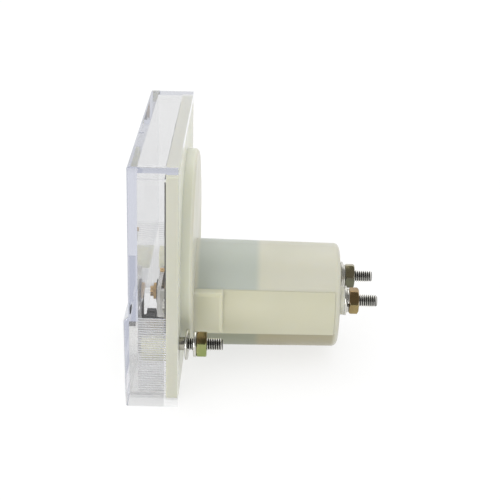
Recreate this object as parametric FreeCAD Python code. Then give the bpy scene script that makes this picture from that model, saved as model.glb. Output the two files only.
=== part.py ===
import FreeCAD
import Part
import math
import os

from FreeCAD import Vector

# Analog panel meter: a moving-coil movement in a round barrel behind a rectangular clear face.
# Sizes are in millimetres. The origin is on the axis of the round spigot, in the plane that meets
# the panel. +Y points back through the panel, -Y to the reader, +Z up, +X to the reader's right.

# Face and clear cover
FACE_W = 64.0
FACE_H = 56.0
FACE_RISE = 2.4             # centre of the face above the spigot's axis
COVER_DEPTH = 10.85         # panel to the front of the window
WINDOW_WALL = 2.05
SIDE_WALL = 1.9
FOOT_WALL = 1.2             # thinner, so the spigot and the barrel clear it
COVER_EDGE_R = 0.4
BAND_H = 20.9               # lower zone of the face, which stands proud of the window
BAND_PROUD_TOP = 1.05
BAND_PROUD_FOOT = 0.75
BAND_BEVEL = 1.0
BAND_WALL = 1.15
POST_SIDE = 1.2             # corner posts inside the cover, which meet the flange
RIB_PITCH = 0.57            # fine ribs inside the lower zone's side walls
RIB_COUNT = 31
RIB_DEPTH = 0.15
RIB_INSET_FRONT = 2.05      # from the window's face to the ribs' front end
RIB_FOOT = 3.5              # lowest rib above the cover's foot
GATE_MARK_X = 6.0           # shallow mark of the moulding gate, on the cover's top
GATE_MARK_W = 2.4
GATE_MARK_L = 1.2
GATE_MARK_DEPTH = 0.3

# Base moulding
COVER_GAP = 0.15            # flange to cover, all round
FLANGE_T = 2.7
FLANGE_CORNER_R = 0.8
SPIGOT_CLEAR = 1.4          # spigot's edge to the mounting studs' washers
SPIGOT_T = 2.6
SPIGOT_EDGE = 0.6
BARREL_DROP = 11.0          # spigot's axis down to the barrel's axis, which is the pointer's axis
BARREL_ROOT_R = 12.9
BARREL_END_R = 12.45
BARREL_DEPTH = 36.74        # panel to the barrel's closed end
BARREL_RIM_R = 1.3
BARREL_WALL = 1.25
BARREL_END_T = 2.0
RING_SEAT_STEP = 0.6
FLANK_PROUD = 0.25          # the barrel's two flanks stand proud between these angles from level
FLANK_TOP_DEG = 25.0
FLANK_FOOT_DEG = -26.0
ROOT_BLOCK_HALF_W = 14.6
ROOT_BLOCK_DEPTH = 6.7
ROOT_BLOCK_ABOVE = 5.6
ROOT_BLOCK_BELOW = 4.25
ROOT_BLOCK_EDGE_R = 0.8
SCREW_END_CLEAR = 0.5       # blind hole past its screw's end

# Movement, along the pointer's axis
RING_FRONT = 2.4
RING_L = 15.0
RING_GAP = 0.2              # return ring in its bore
RING_WALL = 3.5
AIR_GAP = 1.6               # core magnet to return ring
CORE_L = 13.8
CORE_CHAMFER = 0.4
SPACER_HALF_DEG = 14.0
SPACER_INSET = 1.4
COIL_CORE_GAP = 0.2
COIL_RING_GAP = 0.4
COIL_END_GAP = 0.5
COIL_W = 2.4
FORMER_T = 0.25
WINDING_END_T = 0.75
WINDING_CORNER_R = 0.6
STRAP_T = 1.0
STRAP_W = 7.0
STRAP_BEND_R = 0.9
FRONT_STRAP_Y = -6.5        # front face of the front bridge
REAR_STRAP_CLEAR = 2.3      # coil to the rear bridge
SCREW_CIRCLE_INSET = 1.6    # screw axes outside the ring's bore
HEAD_CLEAR = 0.2

# Moving system
DEFLECTION_DEG = 90.0
STAFF_R = 0.55
STAFF_FOOT_R = 1.2
STAFF_FOOT_T = 0.6
COLLET_R = 1.1
PIVOT_R = 0.25
PIVOT_L = 0.8
PIVOT_CLEAR = 0.05
PIVOT_END_CLEAR = 0.2
POINTER_L = 31.5
POINTER_ROOT_W = 1.6
POINTER_TIP_W = 0.5
POINTER_T = 0.2
POINTER_LIFT = 0.5          # pointer in front of the dial
HUB_R = 1.4
ARM_W = 0.5
TAIL_L = 6.2
CROSS_ARM_L = 4.8
WEIGHT_R = 0.5
WEIGHT_L = 0.8
TAIL_WEIGHT_R = 0.95
TAIL_WEIGHT_L = 1.9
WEIGHT_CLEAR = 0.04
WEIGHT_TIP = 0.2            # arm left bare outside each weight
SPRING_HALF_TURNS = 9
SPRING_R = 3.1
SPRING_T = 0.12
SPRING_W = 0.25
STOP_CIRCLE = 17.0
STOP_EXTRA_DEG = 5.0
STOP_R = 0.5
STOP_L = 2.1
STOP_GRIP = 1.4

# Jewel screws and lock nuts
JEWEL_R = 1.25
JEWEL_PROUD = 0.8
SLOT_W = 0.5
SLOT_DEPTH = 0.6
LOCK_NUT_AF = 3.8
LOCK_NUT_T = 0.75
LOCK_HUB_R = 1.65
THREAD_CLEAR = 0.02

# Zero adjuster
LEVER_T = 0.4
LEVER_RING_R = 2.9
LEVER_ARM_W = 1.6
LEVER_PLAY = 0.03
FORK_TOP = 5.7              # below the pointer's axis
FORK_H = 2.75
FORK_HALF_W = 2.4
FORK_REACH = 2.54           # fork in front of the lever's sheet
FORK_STEP_REACH = 0.34
FORK_STEP_H = 0.5
SPRING_ARM_W = 1.0
SPRING_ARM_T = 0.3
SPRING_ARM_CLEAR = 0.25     # behind the front bridge
ADJUSTER_R = 1.85
ADJUSTER_CLEAR = 0.05
ADJUSTER_RECESS = 0.2
ADJUSTER_SLOT_W = 0.7
ADJUSTER_FLANGE_R = 2.7
CRANK_T = 0.5
CRANK_W = 2.0
CRANK_PIN_R = 0.55
CRANK_PIN_DROP = 6.9
CRANK_PIN_BITE = 1.4        # into the fork's slot
CRANK_PIN_CLEAR = 0.1
CRANK_PIN_END_CLEAR = 0.5

# Dial
DIAL_EDGE_GAP = 1.35        # dial inside the flange's edge
DIAL_T = 0.4
DIAL_CORNER_R = 1.0
DIAL_MOUTH_R = 12.0
DIAL_BOSS_CLEAR = 0.5       # dial's foot above the mounting studs' bosses
DIAL_SCREW_INSET = 10.0     # from the cover's side
DIAL_SCREW_RISE = 4.0       # above the dial's foot
DIAL_SCREW_R = 0.9
DIAL_HEAD_R = 1.7
DIAL_HEAD_T = 0.9
DIAL_HEAD_EDGE = 0.3
DIAL_SCREW_GRIP = 2.2

# Small screws of the movement
BRIDGE_SCREW_R = 0.8
BRIDGE_HEAD_R = 1.3
BRIDGE_HEAD_T = 1.0
FRAME_SCREW_R = 1.0
FRAME_HEAD_R = 1.5
FRAME_HEAD_T = 1.2
FRAME_SCREW_GRIP = 5.0
DRIVER_SLOT_W = 0.4
DRIVER_SLOT_DEPTH = 0.5
SHANK_CLEAR = 0.05

# M3 studs, nuts and washers
STUD_R = 1.5
STUD_PITCH_R = 1.34         # radius of the thread's stretch inside a nut
STUD_CHAMFER = 0.45
STUD_HEAD_R = 2.6
STUD_HEAD_T = 2.0
NUT_CROWN = 0.6             # share of a nut's corners that its chamfers take
NUT_AF = 5.5
NUT_T = 2.25
NUT_CLEAR = 0.03
WASHER_T = 0.5
WASHER_R = 3.5
WASHER_BORE_R = 1.7
LOCK_WASHER_R = 2.8
LOCK_WASHER_BORE_R = 1.56
LOCK_WASHER_T = 0.6
LOCK_WASHER_SLIT = 0.7

TERMINAL_X = 7.56
TERMINAL_RISE = 1.8         # above the barrel's axis
TERMINAL_BOSS_R = 3.4
TERMINAL_BOSS_T = 1.1
TERMINAL_FREE = 4.4         # stud beyond its nut
RIGHT_TERMINAL_NUT_DEG = 3.0    # one corner of each nut, up from level
LEFT_TERMINAL_NUT_DEG = 14.0
LUG_T = 0.5
LUG_R = 2.6
LUG_EYE_R = 0.45
LUG_EYE_X = 6.6
LUG_EYE_DROP = 3.0          # below the barrel's axis
LUG_TAIL_W = 2.0

MOUNT_INSET = 6.0           # stud axis inside the cover's side
MOUNT_RISE = 12.95          # stud axis above the cover's foot
MOUNT_HEAD_R = 2.25
MOUNT_HEAD_T = 1.0
MOUNT_BOSS_WALL = 0.75      # tubular boss in front of each stud's head
MOUNT_BOSS_CLEAR = 0.55     # behind the window's back face
MOUNT_SHANK_R = 1.45
MOUNT_SHANK_L = 1.1
MOUNT_NUT_Y = 3.9
MOUNT_NUT_DEG = 24.0
MOUNT_FREE = 3.6
MOUNT_WASHER_Y = 1.75
MOUNT_WASHER_DROP = 0.15
MOUNT_WASHER_SWING_DEG = 3.5    # outer edge towards the flange
MOUNT_LOCK_WASHER_R = 2.95
MOUNT_LOCK_WASHER_T = 0.8

# Wiring
WIRE_R = 0.3
WIRE_TAIL = 0.3
RESISTOR_R = 1.05
RESISTOR_L = 4.6
RESISTOR_CAP_L = 1.15
RESISTOR_WAIST_R = 0.85
RESISTOR_BEHIND = 6.5       # behind the rear bridge
SLEEVE_R = 0.6
SLEEVE_BARE = 1.5
BUSH_R = 0.8
BUSH_LIP_R = 1.1
BUSH_LIP_T = 0.3
ANCHOR_TAIL = 1.0

# Worked out from the sizes above
AXIS_Z = -BARREL_DROP
FOOT_Z = FACE_RISE - FACE_H / 2
HEAD_Z = FACE_RISE + FACE_H / 2
WINDOW_Y = -COVER_DEPTH
WINDOW_BACK_Y = WINDOW_Y + WINDOW_WALL
BAND_TOP_Z = FOOT_Z + BAND_H
BAND_BACK_Y = WINDOW_Y - BAND_PROUD_TOP + BAND_WALL
INNER_W = FACE_W - 2 * SIDE_WALL
INNER_H = FACE_H - SIDE_WALL - FOOT_WALL
INNER_RISE = FACE_RISE - (SIDE_WALL - FOOT_WALL) / 2
FLANGE_W = INNER_W - 2 * COVER_GAP
FLANGE_H = INNER_H - 2 * COVER_GAP
DIAL_FRONT_Y = -FLANGE_T - DIAL_T
DIAL_SCREW_X = FACE_W / 2 - DIAL_SCREW_INSET

BORE_R = BARREL_END_R - BARREL_WALL
REAR_BORE_R = BORE_R - RING_SEAT_STEP
RING_R = BORE_R - RING_GAP
RING_BORE_R = RING_R - RING_WALL
CORE_R = RING_BORE_R - AIR_GAP
RING_BACK = RING_FRONT + RING_L
CORE_FRONT = RING_FRONT + (RING_L - CORE_L) / 2
CORE_BACK = CORE_FRONT + CORE_L
CHAMBER_BACK = BARREL_DEPTH - BARREL_END_T
SCREW_CIRCLE = RING_BORE_R + SCREW_CIRCLE_INSET
SCREW_POST_R = SCREW_CIRCLE - RING_BORE_R

FORMER_IN = CORE_R + COIL_CORE_GAP
FORMER_OUT = FORMER_IN + FORMER_T
WINDING_OUT = RING_BORE_R - COIL_RING_GAP
FORMER_FRONT = CORE_FRONT - COIL_END_GAP - FORMER_T
FORMER_BACK = CORE_BACK + COIL_END_GAP + FORMER_T
COIL_FRONT = FORMER_FRONT - WINDING_END_T
COIL_BACK = FORMER_BACK + WINDING_END_T

FRONT_STRAP_BACK = FRONT_STRAP_Y + STRAP_T
REAR_STRAP_Y = COIL_BACK + REAR_STRAP_CLEAR
REAR_STRAP_BACK = REAR_STRAP_Y + STRAP_T
STRAP_LEG_OUT = SCREW_CIRCLE - BRIDGE_HEAD_R - HEAD_CLEAR
PIVOT_HOLE_R = PIVOT_R + PIVOT_CLEAR
FRONT_STAFF_END = FRONT_STRAP_BACK + PIVOT_END_CLEAR
REAR_STAFF_END = REAR_STRAP_Y - PIVOT_END_CLEAR
LEVER_FRONT = FRONT_STRAP_Y - 2 * LEVER_PLAY - LEVER_T
FORK_FRONT = LEVER_FRONT - FORK_REACH
FORK_BACK = FRONT_STRAP_BACK + SPRING_ARM_CLEAR
CRANK_PIN_END = FORK_FRONT + CRANK_PIN_BITE
ANCHOR_X = -(SPRING_R + WIRE_R + THREAD_CLEAR)
LOCK_NUT_FRONT = LEVER_FRONT - LOCK_NUT_T
JEWEL_FRONT = LOCK_NUT_FRONT - JEWEL_PROUD
REAR_NUT_BACK = REAR_STRAP_BACK + LOCK_NUT_T
REAR_JEWEL_BACK = REAR_NUT_BACK + JEWEL_PROUD
FRONT_SPRING_Y = FRONT_STAFF_END + PIVOT_END_CLEAR
REAR_SPRING_Y = REAR_STAFF_END - PIVOT_END_CLEAR - SPRING_W
POINTER_Y = DIAL_FRONT_Y - POINTER_LIFT - POINTER_T

TERMINAL_Z = AXIS_Z + TERMINAL_RISE
TERMINAL_BOSS_BACK = BARREL_DEPTH + TERMINAL_BOSS_T
TERMINAL_NUT_Y = TERMINAL_BOSS_BACK + WASHER_T + LOCK_WASHER_T
MOUNT_X = FACE_W / 2 - MOUNT_INSET
MOUNT_Z = FOOT_Z + MOUNT_RISE
MOUNT_BOSS_R = MOUNT_HEAD_R + THREAD_CLEAR + MOUNT_BOSS_WALL
MOUNT_BOSS_Y = WINDOW_BACK_Y + MOUNT_BOSS_CLEAR
DIAL_FOOT_Z = MOUNT_Z + MOUNT_BOSS_R + DIAL_BOSS_CLEAR
DIAL_SCREW_Z = DIAL_FOOT_Z + DIAL_SCREW_RISE
SPIGOT_R = math.hypot(MOUNT_X, MOUNT_Z) - WASHER_R - SPIGOT_CLEAR
LUG_EYE_Z = AXIS_Z - LUG_EYE_DROP

SIDES = (-1, 1)
SAME = 1e-6                 # two places closer than this are one
BACK = Vector(0, 1, 0)


# Shapes shared by several pieces

def rod(radius, front, back, x=0.0, z=0.0):
    """A round bar along Y."""
    return Part.makeCylinder(radius, back - front, Vector(x, front, z), BACK)


def taper(front_r, back_r, front, back, x=0.0, z=0.0):
    """A round bar along Y whose radius changes evenly."""
    return Part.makeCone(front_r, back_r, back - front, Vector(x, front, z), BACK)


def tube(outer_r, inner_r, front, back, x=0.0, z=0.0):
    """A round sleeve along Y."""
    return rod(outer_r, front, back, x, z).cut(rod(inner_r, front, back, x, z))


def block(half_w, front, back, low, high, x=0.0):
    """A square-edged block, centred on x."""
    return Part.makeBox(2 * half_w, back - front, high - low, Vector(x - half_w, front, low))


def plate(width, height, front, back, corner_r, z):
    """A flat plate with rounded corners, facing along Y."""
    body = block(width / 2, front, back, z - height / 2, z + height / 2)
    upright = [e for e in body.Edges if abs(e.tangentAt(e.FirstParameter).y) > 0.99]
    return body.makeFillet(corner_r, upright)


def prism(points, start, along):
    """A solid with the outline of the given points, swept from start by the vector along."""
    wire = Part.makePolygon([start + p for p in points] + [start + points[0]])
    return Part.Face(wire).extrude(along)


def end_edges(shape, y):
    """The round edges of a shape that lie in the plane at y."""
    return [e for e in shape.Edges if max(abs(e.BoundBox.YMin - y), abs(e.BoundBox.YMax - y)) < SAME]


def hexagon(across_flats, bore_r, front, back, x=0.0, z=0.0, turn_deg=0.0):
    """A nut with its corners chamfered at both ends. At no turn two corners point along X."""
    corner_r = across_flats / math.sqrt(3)
    corners = []
    for k in range(6):
        angle = math.radians(60 * k + turn_deg)
        corners.append(Vector(corner_r * math.cos(angle), 0, corner_r * math.sin(angle)))
    body = prism(corners, Vector(x, front, z), BACK * (back - front))
    crown = (corner_r - across_flats / 2) * NUT_CROWN
    envelope = rod(corner_r, front, back, x, z)
    envelope = envelope.makeChamfer(crown, end_edges(envelope, front) + end_edges(envelope, back))
    return body.common(envelope).cut(rod(bore_r, front, back, x, z))


def turned(shape, degrees):
    """A shape turned about the pointer's axis, clockwise for the reader."""
    copy = shape.copy()
    copy.rotate(Vector(0, 0, AXIS_Z), BACK, degrees)
    return copy


def at_zero(shape):
    """A piece of the moving system, made pointing up, turned to the scale's zero."""
    return turned(shape, -DEFLECTION_DEG / 2)


def slotted(shape, width, depth, end_y, inward, x=0.0, z=AXIS_Z):
    """A screw end with a slot across it along X. inward is +1 where the end faces the reader."""
    reach = 2 * STUD_HEAD_R
    low, high = sorted((end_y - inward * depth, end_y + inward * depth))
    return shape.cut(block(reach, low, high, z - width / 2, z + width / 2, x))


def pair(make):
    """The left and right copies of one fastener, as separate solids in one shape."""
    return Part.makeCompound([make(side) for side in SIDES])


# Clear cover

def cover_outline():
    """The cover's side view: flat window above, lower zone proud of it behind a short bevel."""
    return [
        Vector(0, 0, FOOT_Z),
        Vector(0, WINDOW_Y - BAND_PROUD_FOOT, FOOT_Z),
        Vector(0, WINDOW_Y - BAND_PROUD_TOP, BAND_TOP_Z),
        Vector(0, WINDOW_Y, BAND_TOP_Z + BAND_BEVEL),
        Vector(0, WINDOW_Y, HEAD_Z),
        Vector(0, 0, HEAD_Z),
    ]


def rib_comb(side):
    """Fine level ribs on the inside of one side wall, as one saw-tooth strip."""
    wall_x = side * INNER_W / 2
    low = FOOT_Z + RIB_FOOT
    points = [Vector(wall_x + side * SIDE_WALL / 2, 0, low)]
    for k in range(RIB_COUNT):
        points.append(Vector(wall_x, 0, low + k * RIB_PITCH))
        points.append(Vector(wall_x - side * RIB_DEPTH, 0, low + (k + 0.5) * RIB_PITCH))
    points.append(Vector(wall_x, 0, low + RIB_COUNT * RIB_PITCH))
    points.append(Vector(wall_x + side * SIDE_WALL / 2, 0, low + RIB_COUNT * RIB_PITCH))
    front = WINDOW_Y + RIB_INSET_FRONT
    return prism(points, Vector(0, front, 0), BACK * (-FLANGE_T - front))


def front_cover():
    """One clear moulding: window, lower zone, four walls that wrap the flange, ribs and posts."""
    body = prism(cover_outline(), Vector(-FACE_W / 2, 0, 0), Vector(FACE_W, 0, 0))
    soft = [e for e in body.Edges if e.BoundBox.YMin < -SAME]
    body = body.makeFillet(COVER_EDGE_R, soft)
    low = INNER_RISE - INNER_H / 2
    high = INNER_RISE + INNER_H / 2
    body = body.cut(block(INNER_W / 2, WINDOW_BACK_Y, 0, low, high))
    body = body.cut(block(INNER_W / 2, BAND_BACK_Y, WINDOW_BACK_Y, low, BAND_TOP_Z - BAND_WALL / 2))
    for side in SIDES:
        body = body.fuse(rib_comb(side))
        x = side * (INNER_W - POST_SIDE) / 2
        body = body.fuse(block(POST_SIDE / 2, BAND_BACK_Y, -FLANGE_T, low, low + POST_SIDE, x))
        body = body.fuse(block(POST_SIDE / 2, WINDOW_BACK_Y, -FLANGE_T, high - POST_SIDE, high, x))
    mark_y = WINDOW_Y + COVER_EDGE_R
    mark_low = HEAD_Z - GATE_MARK_DEPTH
    body = body.cut(block(GATE_MARK_W / 2, mark_y, mark_y + GATE_MARK_L, mark_low, HEAD_Z, GATE_MARK_X))
    hole_r = ADJUSTER_R + ADJUSTER_CLEAR
    return body.cut(rod(hole_r, WINDOW_Y - 2 * BAND_PROUD_TOP, BAND_BACK_Y, z=AXIS_Z)).removeSplitter()


# Base moulding

def barrel_flanks():
    """The barrel's two sides, slightly proud between a crease above and one below."""
    back = BARREL_DEPTH - BARREL_RIM_R
    share = back / BARREL_DEPTH
    back_r = BARREL_ROOT_R + share * (BARREL_END_R - BARREL_ROOT_R)
    skin = taper(BARREL_ROOT_R + FLANK_PROUD, back_r + FLANK_PROUD, 0, back, z=AXIS_Z)
    reach = 2 * BARREL_ROOT_R
    flanks = []
    for side in SIDES:
        corners = [Vector(0, 0, 0)]
        for angle in (FLANK_FOOT_DEG, FLANK_TOP_DEG):
            rad = math.radians(angle)
            corners.append(Vector(side * reach * math.cos(rad), 0, reach * math.sin(rad)))
        flanks.append(skin.common(prism(corners, Vector(0, 0, AXIS_Z), BACK * back)))
    return flanks


def root_block():
    """The square block that flanks the barrel where it leaves the spigot."""
    back = SPIGOT_T + ROOT_BLOCK_DEPTH
    body = block(ROOT_BLOCK_HALF_W, 0, back, AXIS_Z - ROOT_BLOCK_BELOW, AXIS_Z + ROOT_BLOCK_ABOVE)
    rear = [e for e in body.Edges if e.BoundBox.YMin > back - SAME and e.BoundBox.XLength < SAME]
    sides = [e for e in body.Edges if e.BoundBox.XLength < SAME and e.BoundBox.ZLength < SAME]
    return body.makeFillet(ROOT_BLOCK_EDGE_R, rear + sides)


def screw_post(z):
    """A half-buried post along the barrel's wall, which the ring seats on."""
    post = rod(SCREW_POST_R, RING_BACK, CHAMBER_BACK, z=z)
    return post.common(rod(REAR_BORE_R + RING_SEAT_STEP / 2, RING_BACK, CHAMBER_BACK, z=AXIS_Z))


def housing_holes(side):
    """The screw, stud and pin holes of one side; the frame screws' holes lie above and below."""
    frame_hole_end = RING_BACK + FRAME_SCREW_GRIP + SCREW_END_CLEAR
    mount_x = side * MOUNT_X
    return [
        rod(FRAME_SCREW_R + THREAD_CLEAR, RING_BACK, frame_hole_end, z=AXIS_Z + side * SCREW_CIRCLE),
        rod(STUD_R + THREAD_CLEAR, CHAMBER_BACK, TERMINAL_BOSS_BACK, side * TERMINAL_X, TERMINAL_Z),
        rod(STUD_R + THREAD_CLEAR, -FLANGE_T, SPIGOT_T, mount_x, MOUNT_Z),
        rod(MOUNT_HEAD_R + THREAD_CLEAR, MOUNT_BOSS_Y, MOUNT_HEAD_T - FLANGE_T, mount_x, MOUNT_Z),
        rod(DIAL_SCREW_R + THREAD_CLEAR, -FLANGE_T, 0, side * DIAL_SCREW_X, DIAL_SCREW_Z),
        rod(STOP_R + THREAD_CLEAR, -FLANGE_T, 0, stop_x(side), stop_z()),
    ]


def base_housing():
    """One cream moulding: flange with its stud bosses, spigot, barrel with flanks and root block."""
    body = plate(FLANGE_W, FLANGE_H, -FLANGE_T, 0, FLANGE_CORNER_R, INNER_RISE)
    spigot = rod(SPIGOT_R, -FLANGE_T / 2, SPIGOT_T)
    body = body.fuse(spigot.makeChamfer(SPIGOT_EDGE, end_edges(spigot, SPIGOT_T)))
    barrel = taper(BARREL_ROOT_R, BARREL_END_R, 0, BARREL_DEPTH, z=AXIS_Z)
    barrel = barrel.makeFillet(BARREL_RIM_R, end_edges(barrel, BARREL_DEPTH))
    body = body.fuse([barrel, root_block()] + barrel_flanks())
    for side in SIDES:
        boss = rod(TERMINAL_BOSS_R, CHAMBER_BACK, TERMINAL_BOSS_BACK, side * TERMINAL_X, TERMINAL_Z)
        body = body.fuse([boss, rod(MOUNT_BOSS_R, MOUNT_BOSS_Y, -FLANGE_T, side * MOUNT_X, MOUNT_Z)])
    body = body.cut(rod(BORE_R, -FLANGE_T, RING_BACK, z=AXIS_Z))
    body = body.cut(rod(REAR_BORE_R, RING_BACK, CHAMBER_BACK, z=AXIS_Z))
    for side in SIDES:
        body = body.fuse(screw_post(AXIS_Z + side * SCREW_CIRCLE))
        body = body.cut(housing_holes(side))
    return body.removeSplitter()


# Dial

def stop_angle():
    """Angle from upright of each pointer stop."""
    return math.radians(DEFLECTION_DEG / 2 + STOP_EXTRA_DEG)


def stop_x(side):
    return side * STOP_CIRCLE * math.sin(stop_angle())


def stop_z():
    return AXIS_Z + STOP_CIRCLE * math.cos(stop_angle())


def dial_plate():
    """A sheet-metal dial above the stud bosses, its foot open round the movement."""
    width = FLANGE_W - 2 * DIAL_EDGE_GAP
    top = INNER_RISE + FLANGE_H / 2 - DIAL_EDGE_GAP
    height = top - DIAL_FOOT_Z
    body = plate(width, height, DIAL_FRONT_Y, -FLANGE_T, DIAL_CORNER_R, top - height / 2)
    body = body.cut(rod(DIAL_MOUTH_R, DIAL_FRONT_Y, -FLANGE_T, z=AXIS_Z))
    screw_hole_r = DIAL_SCREW_R + SHANK_CLEAR
    for side in SIDES:
        body = body.cut(rod(screw_hole_r, DIAL_FRONT_Y, 0, side * DIAL_SCREW_X, DIAL_SCREW_Z))
        body = body.cut(rod(STOP_R + SHANK_CLEAR, DIAL_FRONT_Y, 0, stop_x(side), stop_z()))
    return body


def dial_screw(side):
    x = side * DIAL_SCREW_X
    front = DIAL_FRONT_Y - DIAL_HEAD_T
    head = rod(DIAL_HEAD_R, front, DIAL_FRONT_Y, x, DIAL_SCREW_Z)
    head = head.makeChamfer(DIAL_HEAD_EDGE, end_edges(head, front))
    head = slotted(head, DRIVER_SLOT_W, DRIVER_SLOT_DEPTH, front, 1, x, DIAL_SCREW_Z)
    return head.fuse(rod(DIAL_SCREW_R, DIAL_FRONT_Y, DIAL_SCREW_GRIP - FLANGE_T, x, DIAL_SCREW_Z))


def pointer_stop(side):
    return rod(STOP_R, DIAL_FRONT_Y - STOP_L, STOP_GRIP - FLANGE_T, stop_x(side), stop_z())


# Stator

def ring_holes(radius, horizontal):
    """Two holes through the ring's wall, left and right or above and below its bore."""
    holes = []
    for side in SIDES:
        x, z = (side * SCREW_CIRCLE, AXIS_Z) if horizontal else (0, AXIS_Z + side * SCREW_CIRCLE)
        holes.append(rod(radius, RING_FRONT, RING_BACK, x, z))
    return holes


def return_ring():
    """The soft-iron ring that carries the flux round the coil."""
    body = tube(RING_R, RING_BORE_R, RING_FRONT, RING_BACK, z=AXIS_Z)
    return body.cut(
        ring_holes(BRIDGE_SCREW_R + SHANK_CLEAR, True) + ring_holes(FRAME_SCREW_R + SHANK_CLEAR, False)
    )


def core_magnet():
    """The round magnet inside the coil."""
    body = rod(CORE_R, CORE_FRONT, CORE_BACK, z=AXIS_Z)
    return body.makeChamfer(CORE_CHAMFER, end_edges(body, CORE_FRONT) + end_edges(body, CORE_BACK))


def core_spacer(side):
    """A cast segment that holds the core in the ring, on the side that the coil never reaches."""
    front = CORE_FRONT + SPACER_INSET
    back = CORE_BACK - SPACER_INSET
    sleeve = tube(RING_BORE_R, CORE_R, front, back, z=AXIS_Z)
    reach = 2 * RING_BORE_R
    rise = reach * math.tan(math.radians(SPACER_HALF_DEG))
    corners = [Vector(0, 0, 0), Vector(side * reach, 0, -rise), Vector(side * reach, 0, rise)]
    return sleeve.common(prism(corners, Vector(0, front, AXIS_Z), BACK * (back - front)))


def strap(bar_y, seat_y, foot_r):
    """A bridge bent from sheet: a bar across the axis, two legs, and feet turned outwards.

    bar_y is the bar's outer face and seat_y the face that its feet stand on.
    """
    step = math.copysign(STRAP_T, seat_y - bar_y)
    leg_in = STRAP_LEG_OUT - STRAP_T
    half = [
        (leg_in, bar_y + step),
        (leg_in, seat_y),
        (foot_r, seat_y),
        (foot_r, seat_y - step),
        (STRAP_LEG_OUT, seat_y - step),
        (STRAP_LEG_OUT, bar_y),
    ]
    outline = [Vector(x, y, 0) for x, y in half] + [Vector(-x, y, 0) for x, y in reversed(half)]
    low = AXIS_Z - STRAP_W / 2
    body = prism(outline, Vector(0, 0, low), Vector(0, 0, STRAP_W))
    bends = [
        e
        for e in body.Edges
        if e.BoundBox.XLength < SAME
        and e.BoundBox.YLength < SAME
        and abs(abs(e.CenterOfMass.x) - STRAP_LEG_OUT) < SAME
        and abs(e.CenterOfMass.y - bar_y) < SAME
    ]
    body = body.makeFillet(STRAP_BEND_R, bends)
    low_y, high_y = sorted((bar_y, seat_y))
    return body.common(rod(foot_r, low_y, high_y, z=AXIS_Z))


def front_bridge():
    body = strap(FRONT_STRAP_Y, RING_FRONT, RING_R)
    body = body.cut(rod(JEWEL_R + THREAD_CLEAR, FRONT_STRAP_Y, FRONT_STRAP_BACK, z=AXIS_Z))
    hole_r = BRIDGE_SCREW_R + THREAD_CLEAR
    for side in SIDES:
        body = body.cut(rod(hole_r, RING_FRONT - STRAP_T, RING_FRONT, side * SCREW_CIRCLE, AXIS_Z))
    return body


def rear_bridge():
    body = strap(REAR_STRAP_BACK, RING_BACK, REAR_BORE_R - RING_GAP)
    body = body.cut(rod(JEWEL_R + THREAD_CLEAR, REAR_STRAP_Y, REAR_STRAP_BACK, z=AXIS_Z))
    body = body.cut(rod(BUSH_R, REAR_STRAP_Y, REAR_STRAP_BACK, ANCHOR_X, AXIS_Z))
    hole_r = BRIDGE_SCREW_R + SHANK_CLEAR
    for side in SIDES:
        body = body.cut(rod(hole_r, RING_BACK, RING_BACK + STRAP_T, side * SCREW_CIRCLE, AXIS_Z))
    return body


def bridge_screw(side):
    """A long screw from the rear foot through the ring into the front foot."""
    x = side * SCREW_CIRCLE
    seat = RING_BACK + STRAP_T
    head = rod(BRIDGE_HEAD_R, seat, seat + BRIDGE_HEAD_T, x, AXIS_Z)
    head = slotted(head, DRIVER_SLOT_W, DRIVER_SLOT_DEPTH, seat + BRIDGE_HEAD_T, -1, x)
    return head.fuse(rod(BRIDGE_SCREW_R, RING_FRONT - STRAP_T, seat, x, AXIS_Z))


def frame_screw(side):
    """A screw from the ring's front face into the barrel's post."""
    z = AXIS_Z + side * SCREW_CIRCLE
    front = RING_FRONT - FRAME_HEAD_T
    head = rod(FRAME_HEAD_R, front, RING_FRONT, z=z)
    head = slotted(head, DRIVER_SLOT_W, DRIVER_SLOT_DEPTH, front, 1, 0, z)
    return head.fuse(rod(FRAME_SCREW_R, RING_FRONT, RING_BACK + FRAME_SCREW_GRIP, z=z))


# Jewel screws and their lock nuts

def jewel_screw(outer, inner):
    """A slotted brass screw with a blind pivot hole in its inner end."""
    inward = 1 if inner > outer else -1
    body = rod(JEWEL_R, min(outer, inner), max(outer, inner), z=AXIS_Z)
    body = slotted(body, SLOT_W, SLOT_DEPTH, outer, inward)
    bottom = inner - inward * (PIVOT_L + PIVOT_END_CLEAR)
    return body.cut(rod(PIVOT_HOLE_R, min(inner, bottom), max(inner, bottom), z=AXIS_Z))


def front_jewel_screw():
    return jewel_screw(JEWEL_FRONT, FRONT_STRAP_BACK)


def rear_jewel_screw():
    return jewel_screw(REAR_JEWEL_BACK, REAR_STRAP_Y)


def front_lock_nut():
    """The front nut has a hub that stands on the bridge and carries the zero lever."""
    bore_r = JEWEL_R + THREAD_CLEAR
    nut = hexagon(LOCK_NUT_AF, bore_r, LOCK_NUT_FRONT, LEVER_FRONT, 0, AXIS_Z, 30)
    return nut.fuse(tube(LOCK_HUB_R, bore_r, LEVER_FRONT, FRONT_STRAP_Y, z=AXIS_Z))


def rear_lock_nut():
    return hexagon(LOCK_NUT_AF, JEWEL_R + THREAD_CLEAR, REAR_STRAP_BACK, REAR_NUT_BACK, 0, AXIS_Z, 30)


# Moving system, made pointing up and turned to zero

def coil_frame(inner, outer, front_in, back_in, front_out, back_out):
    """A rectangular frame round the core, in the plane of the pointer."""
    half = COIL_W / 2
    body = block(half, front_out, back_out, AXIS_Z - outer, AXIS_Z + outer)
    return body.cut(block(half, front_in, back_in, AXIS_Z - inner, AXIS_Z + inner))


def coil_former():
    frame = coil_frame(
        FORMER_IN, FORMER_OUT, FORMER_FRONT + FORMER_T, FORMER_BACK - FORMER_T, FORMER_FRONT, FORMER_BACK
    )
    return at_zero(frame)


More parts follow.
